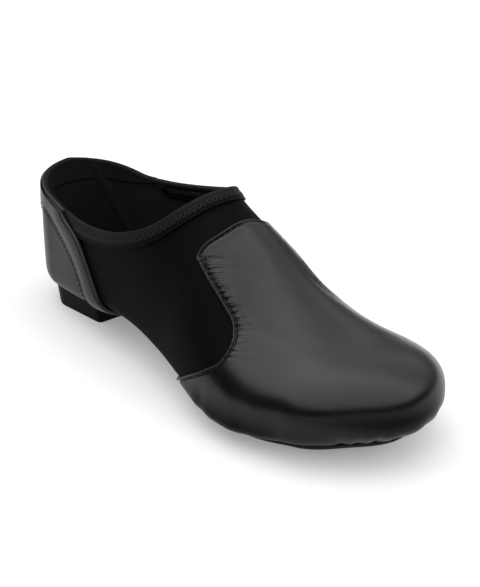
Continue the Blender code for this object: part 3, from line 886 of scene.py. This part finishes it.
def vamp_patches():
    nets = {side: vamp_net(side) for side in SIDES}
    share_edges(nets[LATERAL][0], nets[MEDIAL][0], (RIDGE_ROW, BOTTOM_ROW))
    share_edges(nets[LATERAL][1], nets[MEDIAL][1], (TOE_COLUMN,))
    reliefs = {side: vamp_relief(side, *nets[side]) for side in nets}
    share_edges(reliefs[LATERAL][0], reliefs[MEDIAL][0], (RIDGE_ROW, BOTTOM_ROW, TOE_COLUMN))
    patches = []
    for side, (station, girth) in nets.items():
        fall, phase, size, painted_shade_dull = reliefs[side]
        outer, inner = skin(side, station, girth, fall), skin(side, station, girth, LEATHER)
        patches.append((-side, outer, inner, {"wrinkle_phase": phase, "wrinkle_size": size, "painted_shade_dull": painted_shade_dull}))
    return patches


vamp = shell("vamp_leather_piece", vamp_patches(), vamp_leather(),
             ("wrinkle_phase", "wrinkle_size", "painted_shade_dull"))
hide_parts("vamp")

# The heel counter: leather glued and sewn round the back of the heel, stiffened inside. It ends in a seam
# under the band, and its lower edge is lasted in over the heel seat.
BAND_REAR_SEAM = (
    (-0.160, 0.650), (-0.060, 0.643), (-0.007, 0.618), (0.047, 0.545), (0.090, 0.460), (0.118, 0.380),
    (0.140, 0.277), (0.152, 0.170), (0.160, -0.100))
COUNTER_ROWS = 130
COUNTER_COLUMNS = 50


def counter_patch(side):
    edge_station, edge_girth = seam(side, BAND_REAR_SEAM, COUNTER_ROWS)
    girth = edge_girth[:, None] * np.linspace(1, 0, COUNTER_COLUMNS)[None, :]
    station = np.broadcast_to(edge_station[:, None], girth.shape)
    return side, skin(side, station, girth), skin(side, station, girth, LEATHER), {}


counter = shell("heel_counter_leather", [counter_patch(side) for side in SIDES],
                soft_leather("counter_leather", (0.0036, 0.0036, 0.0037), 0.34, 0.125))
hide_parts("heel_counter")

# The counter band: a strip of the same leather folded over the back of the collar and, softly padded, on
# down both front edges of the counter. A line of stitches holds it along its rear seam.
BAND_FRONT_EDGE = (
    (0.040, 0.900), (0.062, 0.665), (0.101, 0.607), (0.123, 0.567), (0.145, 0.495), (0.164, 0.418),
    (0.180, 0.349), (0.195, 0.281), (0.212, 0.190), (0.232, 0.090), (0.250, -0.100))
BAND_HEM = ((-0.160, 0.670), (0.000, 0.620), (0.100, 0.540), (0.300, 0.500))
BAND_LEATHER = 0.0020
BAND_ROWS = 170
BAND_COLUMNS = 28
BAND_TURN = 0.009
BAND_EDGE = 0.0011
BAND_EDGE_FALL = 1.3
BAND_CROWN = 0.0009
# The padding is full where the band is narrower than the first width, and gone at the second
CROWN_WIDTHS = (0.012, 0.032)
BAND_STITCH_INSET = 0.0019
BAND_GROOVE_DEPTH = 0.0004
BAND_GROOVE_WIDTH = 0.0006
COLLAR_POINTS = 200
FOLD_STEPS = 12
FOLD_SQUARENESS = 2.6
FOLD_GAP = 0.0001
HEM_STEPS = 14
HEM_LEATHER = 0.0005
HEM_TAPER = 0.026
HEM_END = 0.15
HEM_EDGE = 0.0004
RIM_STEPS = 5
WALK_STEPS = 8


def walk(side, station, girth, direction, reach):
    """The points of the form that lie some distance away over its surface, in a direction."""
    tiny = 0.0001
    station, girth, reach = np.broadcast_arrays(station, girth, reach)
    station, girth = station.astype(float), girth.astype(float)
    step = reach / WALK_STEPS
    for _ in range(WALK_STEPS):
        s, g = np.clip(station, tiny, 1 - tiny), np.clip(girth, tiny, 1 - tiny)
        along = (skin(side, s + tiny, g) - skin(side, s - tiny, g)) / (2 * tiny)
        around = (skin(side, s, g + tiny) - skin(side, s, g - tiny)) / (2 * tiny)
        n = normal_at(side, s, g)
        flat = direction - (direction * n).sum(axis=-1, keepdims=True) * n
        flat /= np.linalg.norm(flat, axis=-1, keepdims=True)
        a, b, c = (along**2).sum(axis=-1), (along * around).sum(axis=-1), (around**2).sum(axis=-1)
        p, q = (along * flat).sum(axis=-1), (around * flat).sum(axis=-1)
        station = station + (p * c - q * b) / (a * c - b * b) * step
        girth = np.clip(girth + (q * a - p * b) / (a * c - b * b) * step, 0, 1)
    return station, girth


def away_from_mouth(side, station, girth):
    """Directions over the form, square to the collar's edge and away from the opening."""
    line = skin(side, station, girth)
    direction = np.cross(np.gradient(line, axis=0), normal_at(side, station, girth)) * -side
    return direction / np.linalg.norm(direction, axis=-1, keepdims=True)


def over_the_edge(side, station, girth, down, outer_depth, inner_depth, rise):
    """Points of a fold over the collar's edge, from the outside to the inside."""
    angle = np.linspace(0, pi, FOLD_STEPS + 2)[1:-1]
    power = 2 / FOLD_SQUARENESS
    share = np.sign(np.cos(angle)) * np.abs(np.cos(angle))**power
    depth = (outer_depth + inner_depth) / 2 + (outer_depth - inner_depth) / 2 * share
    spot = skin(side, station[:, None], girth[:, None], depth[None, :])
    return spot - down[:, None] * (rise * np.sin(angle)**power)[None, :, None]


def band_corner(side):
    """The station at which the band's front edge leaves the collar's edge."""
    x, z = side_curve(BAND_FRONT_EDGE)
    station = HEEL_FAN + x / STATION_METRES
    above = z > collar_height(side, station)
    return station[above][-1]


def band_lines(side):
    """The band's rear seam, and its other edge along the collar and down the front of the counter."""
    rear = seam(side, BAND_REAR_SEAM, BAND_ROWS)
    corner = band_corner(side)
    turn = int(np.searchsorted(rear[0], HEEL_FAN + BAND_TURN / STATION_METRES))
    rim_station = np.linspace(0, corner, COLLAR_POINTS)
    rim = evenly(side, rim_station, rim_girth(side, rim_station), turn + 1)
    station, girth = on_form(side, *side_curve(BAND_FRONT_EDGE))
    below = (station > corner) & (girth < rim[1][-1])
    end = np.nonzero(girth[below] <= 0)[0][0] + 1
    station = np.concatenate([[corner], station[below][:end]])
    girth = np.concatenate([[rim[1][-1]], girth[below][:end]])
    front = evenly(side, station, girth, BAND_ROWS - turn)
    edge = [np.concatenate([rim[k], front[k][1:]]) for k in (0, 1)]
    return rear, edge, turn


def band_face(side, rear, edge, turn):
    """The band's padded face between its seam and its edge, and its back against the bootie."""
    share = (0.5 - 0.5 * np.cos(np.linspace(0, pi, BAND_COLUMNS)))[None, :]
    station = rear[0][:, None] * (1 - share) + edge[0][:, None] * share
    girth = rear[1][:, None] * (1 - share) + edge[1][:, None] * share
    flat = skin(side, station, girth)
    behind, _ = near_seam(flat, flat[:, 0])
    ahead, _ = near_seam(flat, flat[turn:, -1])
    width = behind + ahead
    narrow, wide = CROWN_WIDTHS
    crown = np.clip(4 * behind * ahead / width**2, 0, 1) * np.clip((wide - width) / (wide - narrow), 0, 1)
    lift = BAND_LEATHER - LEATHER + BAND_CROWN * crown
    lift -= BAND_EDGE_FALL * (rolled(behind, BAND_EDGE) + rolled(ahead, BAND_EDGE))
    lift -= BAND_GROOVE_DEPTH * hump(behind, BAND_STITCH_INSET, BAND_GROOVE_WIDTH)
    outer = flat + normal_at(side, station, girth) * lift[..., None]
    return outer, skin(side, station, girth, LEATHER)


def band_fold(side, station, rim, face, back):
    """The fold from the top of the band's face and back over the collar's edge, down to a hem inside."""
    rim_x = skin(side, station, rim)[:, 0]
    down = away_from_mouth(side, station, rim)
    hem_z = smooth([x * LENGTH for x, _ in BAND_HEM], [z * INSTEP_HEIGHT for _, z in BAND_HEM], rim_x)
    taper = eased((rim_x[-1] - rim_x) / HEM_TAPER)
    reach = (girth_at(side, station, hem_z) - rim) * (HEM_END + (1 - HEM_END) * taper)
    leg_girth = rim[:, None] + reach[:, None] * np.linspace(0, 1, HEM_STEPS)
    leg_station = np.broadcast_to(station[:, None], leg_girth.shape)
    run = distances(skin(side, leg_station, leg_girth))
    under_leg = UPPER_DEPTH + wall(run, leg_station) + FOLD_GAP
    leg = under_leg + HEM_LEATHER - rolled(run[:, -1:] - run, HEM_EDGE)
    under_rim = UPPER_DEPTH + RIM_WALL + FOLD_GAP
    outer = np.concatenate([
        face,
        over_the_edge(side, station, rim, down, 0.0, under_rim + HEM_LEATHER, COLLAR_FOLD),
        skin(side, leg_station, leg_girth, leg)], axis=1)
    inner = np.concatenate([
        back,
        over_the_edge(side, station, rim, down, LEATHER, under_rim, CLEARANCE),
        skin(side, leg_station, leg_girth, under_leg)], axis=1)
    return outer, inner


def band_patches(side):
    rear, edge, turn = band_lines(side)
    outer, inner = band_face(side, rear, edge, turn)
    top = slice(turn + 1)
    over, under = band_fold(side, edge[0][top], edge[1][top], outer[top, -1:], inner[top, -1:])
    return [(side, outer, inner, {}), (side, over, under, {"inside_from": RIM_STEPS})]


band = shell("counter_band_leather", band_patches(LATERAL) + band_patches(MEDIAL),
             soft_leather("band_leather", (0.0040, 0.0040, 0.0041), 0.34, 0.27), inside=fleece)
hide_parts("counter_band")

# The collar tape: woven elastic, finely ribbed, folded over the collar's edge from band to band round the
# throat. A zigzag stitch through both legs holds it and dents it a little along its two rows.
TAPE = 0.0010
TAPE_WIDTH = 0.0068
TAPE_LEAN = 0.92
TAPE_ROWS = 260
TAPE_LEG = 26
TAPE_OPENS = 0.012
TAPE_OPENING = 0.08
TAPE_EDGE = 0.0005
TAPE_BELLY = 0.00010
TAPE_DARK = (0.0016, 0.0016, 0.0017)
TAPE_PAINTED_HIGHLIGHT = (0.0090, 0.0090, 0.0095)
RIM_ACROSS = TAPE_WIDTH + 0.0017
RIB_PITCH = 0.00055
WEFT_PITCH = 0.0007
ZIGZAG_TOP = 0.0012
ZIGZAG_BOTTOM = 0.0052
DENT_DEPTH = 0.00022
DENT_WIDTH = 0.0004
NEAR_POINTS = 600


def tape_lines(side):
    """The collar's edge from the band to the throat, with its directions and the tape's width along it."""
    near = THROAT - (THROAT - band_corner(side)) * np.linspace(1, 0, NEAR_POINTS)**2
    station, rim = evenly(side, near, rim_girth(side, near), TAPE_ROWS)
    rim[-1] = 1.0
    down = away_from_mouth(side, station, rim)
    ridge = skin(side, THROAT + 0.002, 1.0) - skin(side, THROAT - 0.002, 1.0)
    down[-1] = ridge / np.linalg.norm(ridge)
    run = distances(skin(side, station, rim))
    width = TAPE_WIDTH * (1 + (TAPE_LEAN - 1) * run / run[-1])
    width = width * np.clip(TAPE_OPENING + (1 - TAPE_OPENING) * run / TAPE_OPENS, 0, 1)
    return station, rim, down, width, run


def tape_patch(side):
    station, rim, down, width, run = tape_lines(side)
    drop = width[:, None] * np.linspace(1, 0, TAPE_LEG)[None, :]
    leg_station, leg_girth = walk(side, station[:, None], rim[:, None], down[:, None], drop)
    leg_girth[-1] = 1.0
    dents = DENT_DEPTH * (hump(drop, ZIGZAG_TOP, DENT_WIDTH) + hump(drop, ZIGZAG_BOTTOM, DENT_WIDTH))
    belly = TAPE_BELLY * np.sin(np.clip(drop / ZIGZAG_TOP, 0, 1) * pi)
    face = LEATHER - TAPE + dents - belly + rolled(width[:, None] - drop, TAPE_EDGE)
    under_leg = UPPER_DEPTH + wall(drop, leg_station) + FOLD_GAP
    under_rim = UPPER_DEPTH + RIM_WALL + FOLD_GAP
    outer = np.concatenate([
        skin(side, leg_station, leg_girth, face),
        over_the_edge(side, station, rim, down, LEATHER - TAPE, under_rim + TAPE, CLEARANCE + TAPE),
        skin(side, leg_station, leg_girth, under_leg + TAPE - dents)[:, ::-1]], axis=1)
    inner = np.concatenate([
        skin(side, leg_station, leg_girth, LEATHER),
        over_the_edge(side, station, rim, down, LEATHER, under_rim, CLEARANCE),
        skin(side, leg_station, leg_girth, under_leg)[:, ::-1]], axis=1)
    fields = {"along": np.broadcast_to(run[:, None], outer.shape[:2]), "across": distances(outer)}
    return side, outer, inner, fields


def ribbed_elastic():
    """Woven elastic: fine ribs along the tape crossed by its weft, with a painted highlight along its fold
    over the rim.
    """
    m = Material("elastic_tape", TAPE_DARK, 0.5, Specular_IOR_Level=0.035)
    ribs = (m.field("across") * (2 * pi / RIB_PITCH)).math("SINE")
    weft = (m.field("along") * (2 * pi / WEFT_PITCH)).math("SINE")
    m.relief(ribs * 0.35 + weft * 0.15 + 0.5, 0.00007)
    from_rim = (m.field("across") - RIM_ACROSS).math("ABSOLUTE")
    # Painted highlight: the base colour turns pale along the fold over the collar's edge, which faces up to
    # the light.
    m.feed("Base Color", m.mix(m.between(from_rim, 0.0036, 0.0046, 1.0, 0.0), TAPE_DARK, TAPE_PAINTED_HIGHLIGHT))
    return m.material


tape = shell("collar_tape_elastic", [tape_patch(side) for side in SIDES], ribbed_elastic(),
             ("along", "across"))
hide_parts("collar_tape")

# The stitches: bonded nylon thread, a zigzag along both faces of the collar tape and running stitches along
# the vamp's seam and the band's rear seam. Each pulls its ends down into what it holds.
ZIGZAG_PITCH = 0.0029
ZIGZAG_RADIUS = 0.00020
ZIGZAG_INSET = 0.0003
# The depth of the thread on each face of the tape, and which way is out there
ZIGZAG_FACES = ((LEATHER - TAPE + 0.0001, 1), (UPPER_DEPTH + RIM_WALL + TAPE + 0.0003, -1))
VAMP_STITCH_DEPTH = GROOVE_DEPTH * 0.95
VAMP_THREAD_RADIUS = 0.00026
BAND_STITCH_LENGTH = 0.0021
BAND_STITCH_PITCH = 0.0027
BAND_STITCH_DEPTH = -0.0006
BAND_THREAD_RADIUS = 0.00028
STITCHED_SHARE = 0.86
STITCH_LINE_POINTS = 500
THREAD_SIDES = 6
THREAD_RINGS = 7
THREAD_SAG = 0.0003


def dark_thread(name, shade, gloss):
    m = Material(name, (shade, shade, shade * 1.05), 0.4, Specular_IOR_Level=gloss)
    m.relief(m.noise(0.0003, 2.0), 0.00005)
    return m.material


def threads(name, runs, radius, material):
    """Runs of stitches as one mesh: a rounded rod from each start to its end, whose ends dip."""
    starts, ends, ups = (np.concatenate(parts) for parts in zip(*runs))
    verts, faces = [], []
    t = (1 - np.cos(np.linspace(0, pi, THREAD_RINGS))) / 2
    thick = radius * np.clip(np.sin(np.linspace(0, pi, THREAD_RINGS)), 0, 1)**0.35
    dip = THREAD_SAG * np.abs(2 * t - 1)**3
    angle = np.linspace(0, 2 * pi, THREAD_SIDES, endpoint=False)
    for a, b, up in zip(starts, ends, ups):
        side_way = np.cross(b - a, up)
        side_way /= np.linalg.norm(side_way)
        base = len(verts)
        for k in range(THREAD_RINGS):
            middle = a + (b - a) * t[k] - up * dip[k]
            ring = middle + thick[k] * (np.outer(np.cos(angle), side_way) + np.outer(np.sin(angle), up))
            verts.extend(ring.tolist())
        for k in range(THREAD_RINGS - 1):
            for j in range(THREAD_SIDES):
                n = (j + 1) % THREAD_SIDES
                low, high = base + k * THREAD_SIDES, base + (k + 1) * THREAD_SIDES
                faces.append((low + j, low + n, high + n, high + j))
    mesh = bpy.data.meshes.new(name)
    mesh.from_pydata(verts, [], faces)
    piece = add_piece(name, mesh, material)


def on_line(place, run, line):
    """What a line holds at some distances along it."""
    return np.stack([np.interp(place, run, values) for values in line.T], axis=-1)


def zigzag(side, depth, out):
    """The start and end of each leg of the zigzag stitch, and the way out of the tape there."""
    station, rim, down, _, run = tape_lines(side)
    count = int(run[-1] / ZIGZAG_PITCH) * 2
    place = np.linspace(TAPE_OPENS, run[-1], count)
    drop = np.where(np.arange(count) % 2 == 0, ZIGZAG_TOP + ZIGZAG_INSET, ZIGZAG_BOTTOM - ZIGZAG_INSET)
    s, g = np.interp(place, run, station), np.interp(place, run, rim)
    s, g = walk(side, s, g, on_line(place, run, down), drop)
    spot = skin(side, s, g, depth)
    return spot[:-1], spot[1:], normal_at(side, s, g)[:-1] * out


def seam_stitches(side, points, inset, depth, inward, length, pitch):
    """The start and end of each stitch along a seam, and the way out of the leather there."""
    station, girth = seam(side, points, STITCH_LINE_POINTS)
    edge = skin(side, station, girth)
    way = np.cross(np.gradient(edge, axis=0), normal_at(side, station, girth)) * -side * inward
    station, girth = walk(side, station, girth, way, inset)
    line = skin(side, station, girth, depth)
    run = distances(line)
    starts = np.arange(FIRST_STITCH, run[-1] * STITCHED_SHARE - length, pitch)
    out = on_line(starts + length / 2, run, normal_at(side, station, girth))
    out /= np.linalg.norm(out, axis=-1, keepdims=True)
    return on_line(starts, run, line), on_line(starts + length, run, line), out


threads("tape_zigzag", [zigzag(side, depth, out) for depth, out in ZIGZAG_FACES for side in SIDES],
        ZIGZAG_RADIUS, dark_thread("zigzag_thread", 0.011, 0.25))
seam_thread = dark_thread("seam_thread", 0.005, 0.12)
vamp_stitches = [
    seam_stitches(side, VAMP_SEAM, STITCH_INSET, VAMP_STITCH_DEPTH, -1,
                  VAMP_STITCH_LENGTH, VAMP_STITCH_PITCH)
    for side in SIDES]
threads("vamp_running_stitch", vamp_stitches, VAMP_THREAD_RADIUS, seam_thread)
band_stitches = [
    seam_stitches(side, BAND_REAR_SEAM, BAND_STITCH_INSET, BAND_STITCH_DEPTH, 1,
                  BAND_STITCH_LENGTH, BAND_STITCH_PITCH)
    for side in SIDES]
threads("band_running_stitch", band_stitches, BAND_THREAD_RADIUS, seam_thread)

# The forefoot sole: a thin patch of suede-faced rubber under the ball and toes, glued over the edge of the
# vamp, and so set back that hardly more than its edge shows.
SOLE_INSET = 0.0095
SOLE_START = 0.57
SOLE_BOW = 0.10
SOLE_HALF = 0.030
SOLE_EDGE = 0.0008
SOLE_ROWS = 120
SOLE_COLUMNS = 36
SOLE_CROWDING = 1.6


def level_under(side, station, reach):
    """The levels of points that lie some distance from the middle of the foot, under it."""
    share = np.clip(reach / half_width(side, station), 0, 1)
    return -np.arccos(share**(column("low_power", station) / 2)) * 2 / pi


def underfoot(side, station, reach):
    """The girths of points that lie some distance from the middle of the foot, under it."""
    level = level_under(side, station, reach)
    found = []
    for s, l in zip(station.ravel() * (CHART_STATIONS - 1), level.ravel()):
        i = min(int(s), CHART_STATIONS - 2)
        profile = levels[side][i] * (1 - s + i) + levels[side][i + 1] * (s - i)
        found.append(np.interp(l, profile, chart_girth))
    return np.array(found).reshape(station.shape)


def sole_patch(side):
    share = (1 - (1 - np.linspace(0, 1, SOLE_COLUMNS))**SOLE_CROWDING)[None, :]
    back = SOLE_START - SOLE_BOW * BALL_WIDTH / STATION_METRES * np.sqrt(1 - share**2)
    station = back + (1 - back) * np.linspace(0, 1, SOLE_ROWS)[:, None]
    girth = underfoot(side, station, share * (half_width(side, station) - SOLE_INSET))
    girth[:, 0] = 0
    edge = np.minimum((1 - share) * SOLE_HALF, (station - back) * STATION_METRES)
    outer = skin(side, station, girth, -CLEARANCE - SOLE_THICKNESS + rolled(edge, SOLE_EDGE))
    outer[..., 2] = np.maximum(outer[..., 2], 0)
    return side, outer, skin(side, station, girth, -CLEARANCE), {}


def suede_rubber():
    m = Material("sole_rubber", (0.020, 0.0175, 0.0145), 0.85, Specular_IOR_Level=0.2)
    m.relief(m.noise(0.0008, 4.0, 0.7), 0.0001)
    return m.material


sole = shell("forefoot_sole_patch", [sole_patch(side) for side in SIDES], suede_rubber())
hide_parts("forefoot_sole")

# The insole: a thin sheet of foam faced with fabric, cut a little narrower than the foot and glued in along
# the whole shoe.
INSOLE_THICKNESS = 0.0015
INSOLE_INSET = 0.0110
INSOLE_DEPTH = LINING_DEPTH + CLEARANCE
INSOLE_ROWS = 160
INSOLE_COLUMNS = 24


def insole_patch(side):
    station = np.broadcast_to(np.linspace(0, 1, INSOLE_ROWS)[:, None], (INSOLE_ROWS, INSOLE_COLUMNS))
    share = np.linspace(0, 1, INSOLE_COLUMNS)[None, :]
    girth = underfoot(side, station, share * (half_width(side, station) - INSOLE_INSET))
    girth[:, 0] = 0
    top = skin(side, station, girth, INSOLE_DEPTH + INSOLE_THICKNESS)
    return side, top, skin(side, station, girth, INSOLE_DEPTH), {}


def insole_fabric():
    m = Material("insole_fabric", (0.006, 0.006, 0.006), 0.9, Specular_IOR_Level=0.1)
    m.relief(m.cells(0.0008), 0.0001)
    return m.material


sock = shell("insole_sheet", [insole_patch(side) for side in SIDES], insole_fabric())
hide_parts("insole")

# The heel: a low block of moulded rubber with a slanted front, drawn in towards the floor, and glued under
# the counter's lasted edge, which sits in a shallow cup in its top.
HEEL_CUP = 0.0022
HEEL_BACK_INSET = 0.0088
HEEL_SIDE_INSET = 0.0045
HEEL_LENGTH = 0.049
HEEL_TAPER = 0.0012
HEEL_FRONT_SHARE = 0.88
HEEL_CORNER = 0.0025
HEEL_BEVEL = 0.0006
HEEL_POINTS = 176


def heel_ring(inset):
    """The heel's outline on the floor plan, drawn in by inset, with its front corners rounded."""
    back = half_width(LATERAL, 0.0) - HEEL_BACK_INSET
    side = half_width(LATERAL, HEEL_FAN) - HEEL_SIDE_INSET - inset
    front = HEEL_LENGTH - back - inset
    angles = np.linspace(0, pi, 60)
    points = [(-(back - inset) * sin(a), -side * cos(a)) for a in angles]
    for sign in (1, -1):
        end = (front, sign * side * HEEL_FRONT_SHARE)
        before = (front - HEEL_CORNER, sign * (side * HEEL_FRONT_SHARE + HEEL_CORNER * 0.1))
        after = (front, sign * (side * HEEL_FRONT_SHARE - HEEL_CORNER))
        first, last = (before, after) if sign == 1 else (after, before)
        for t in np.linspace(0, 1, 9):
            points.append(tuple(first[k] * (1 - t)**2 + 2 * end[k] * t * (1 - t) + last[k] * t**2
                                for k in (0, 1)))
    points = np.array(points + points[:1])
    run = distances(points)
    return on_line(np.linspace(0, run[-1], HEEL_POINTS + 1)[:-1], run, points)


def form_above(points):
    """The height of the form's underside over points of the floor plan."""
    heights = []
    for x, y in points:
        side = MEDIAL if y > 0 else LATERAL
        if x < 0:
            station, reach = HEEL_FAN * np.arctan2(abs(y), -x) * 2 / pi, np.hypot(x, y)
        else:
            station = HEEL_FAN + x / STATION_METRES
            reach = abs(y - spine(station)[1])
        station = np.array([station])
        heights.append(form(side, station, level_under(side, station, reach))[0, 2])
    return np.array(heights)


def heel_top(plan):
    """The height of the block's top, which follows the heel seat as far as its cup reaches."""
    return np.minimum(form_above(plan) - CLEARANCE, HEEL_HEIGHT + HEEL_CUP)


def heel_rings():
    """The block's rings from the middle of its top, down its wall, to the middle of its foot."""
    rings = []
    head, foot = heel_ring(0), heel_ring(HEEL_TAPER)
    top = heel_top(head)
    for share in (0.0, 0.25, 0.5, 0.75, 0.9, 0.985):
        rings.append(np.column_stack([head * share, heel_top(head * share)]))
    for share in np.linspace(0.03, 1, 12):
        height = top * (1 - share) + HEEL_BEVEL * share
        rings.append(np.column_stack([head * (1 - share) + foot * share, height]))
    for angle in (radians(30), radians(60), radians(90)):
        plan = heel_ring(HEEL_TAPER + HEEL_BEVEL * (1 - cos(angle)))
        rings.append(np.column_stack([plan, np.full(len(plan), HEEL_BEVEL * (1 - sin(angle)))]))
    for share in (0.66, 0.33, 0.0):
        plan = rings[-1][:, :2] * share
        rings.append(np.column_stack([plan, np.zeros(len(plan))]))
    return rings


def moulded_rubber():
    """Matte moulded rubber, a little olive, with a fine spark-eroded grain."""
    m = Material("heel_rubber", (0.0024, 0.0024, 0.0019), 0.5, Specular_IOR_Level=0.05)
    m.relief(m.noise(0.0005, 4.0, 0.6), 0.00008)
    return m.material


def heel_piece():
    bm = bmesh.new()
    rings = [[bm.verts.new(point) for point in ring] for ring in heel_rings()]
    for one, two in zip(rings, rings[1:]):
        for k in range(len(one)):
            bm.faces.new((one[k - 1], one[k], two[k], two[k - 1]))
    weld(bm)
    return add_body("heel_rubber_block", bm, moulded_rubber())


heel = heel_piece()
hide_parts("heel_block")

# The studio: a pale floor that glows a little under a wide soft light from above and a weaker one from
# behind, and the camera at the photograph's angle. The camera itself sees plain white all round.
CAMERA_AIM = Vector((0.09898, 0.0, 0.03093))
CAMERA_AZIMUTH = radians(50.94)
CAMERA_ELEVATION = radians(26.08)
CAMERA_ROLL = radians(-0.13)
CAMERA_DISTANCE = 0.5117
PICTURE_WIDTH, PICTURE_HEIGHT = 480, 587
FOCAL_PIXELS = 1100.75
CENTRE_PIXEL = (216.88, 304.55)
SENSOR = 36.0
FLOOR_REACH = 6.0
FLOOR_GREY = 0.53
FLOOR_GLOW = 0.25
SKY = 2.5
SKY_EDGE = (0.24, 0.50)
SKY_LEAN = (0.20, 0.126, 0.0)
LEAN_LIMIT = 0.03
SKY_SLOPE = (-0.25, 0.20, 0.0)
HORIZON = 0.01
BACK_WAY = (-0.40, 0.92, 0.0)
BACK_EDGE = (0.27, 0.78)
BACK_LIGHT = 0.25
BACK_DIMS = 0.68

camera = bpy.data.objects.new("camera", bpy.data.cameras.new("camera"))
bpy.context.scene.collection.objects.link(camera)
back = Vector((
    sin(CAMERA_AZIMUTH) * cos(CAMERA_ELEVATION),
    -cos(CAMERA_AZIMUTH) * cos(CAMERA_ELEVATION),
    sin(CAMERA_ELEVATION)))
facing = (-back).to_track_quat("-Z", "Y").to_matrix().to_4x4() @ Matrix.Rotation(CAMERA_ROLL, 4, "Z")
camera.matrix_world = Matrix.Translation(CAMERA_AIM + back * CAMERA_DISTANCE) @ facing
camera.data.sensor_width = SENSOR
camera.data.lens = FOCAL_PIXELS / PICTURE_HEIGHT * SENSOR
camera.data.shift_x = (PICTURE_WIDTH / 2 - CENTRE_PIXEL[0]) / PICTURE_HEIGHT
camera.data.shift_y = (CENTRE_PIXEL[1] - PICTURE_HEIGHT / 2) / PICTURE_HEIGHT
bpy.context.scene.camera = camera

white = Material("floor_white", (FLOOR_GREY, FLOOR_GREY, FLOOR_GREY), 0.9, Specular_IOR_Level=0.0,
                 Emission_Color=(1, 1, 1, 1), Emission_Strength=FLOOR_GLOW)
floor_corners = [(x * FLOOR_REACH, y * FLOOR_REACH, 0) for x, y in ((-1, -1), (1, -1), (1, 1), (-1, 1))]
floor_mesh = bpy.data.meshes.new("floor")
floor_mesh.from_pydata(floor_corners, [], [(0, 1, 2, 3)])
floor_mesh.materials.append(white.material)
floor = bpy.data.objects.new("floor", floor_mesh)
bpy.context.scene.collection.objects.link(floor)

world = bpy.data.worlds.new("studio")
studio = Tree(world)
direction = studio.add("ShaderNodeTexCoord", output="Generated")
height = studio.add("ShaderNodeSeparateXYZ", None, [direction], output="Z")
lean = direction.dot(SKY_LEAN).math("MINIMUM", LEAN_LIMIT)
above = studio.between(height + lean, *SKY_EDGE, kind="SMOOTHSTEP")
past = studio.between(direction.dot(BACK_WAY), *BACK_EDGE, kind="SMOOTHSTEP")
seen = studio.add("ShaderNodeLightPath", output="Is Camera Ray")
sky = above * (1 - past * BACK_DIMS) * (direction.dot(SKY_SLOPE) + 1) * SKY
glow = sky + past * (1 - above) * BACK_LIGHT + HORIZON
strength = glow * (1 - seen) + seen
studio.links.new(strength.socket, studio.nodes["Background"].inputs["Strength"])
studio.nodes["Background"].inputs["Color"].default_value = (1, 1, 1, 1)
bpy.context.scene.world = world
bpy.context.scene.view_settings.view_transform = "Standard"
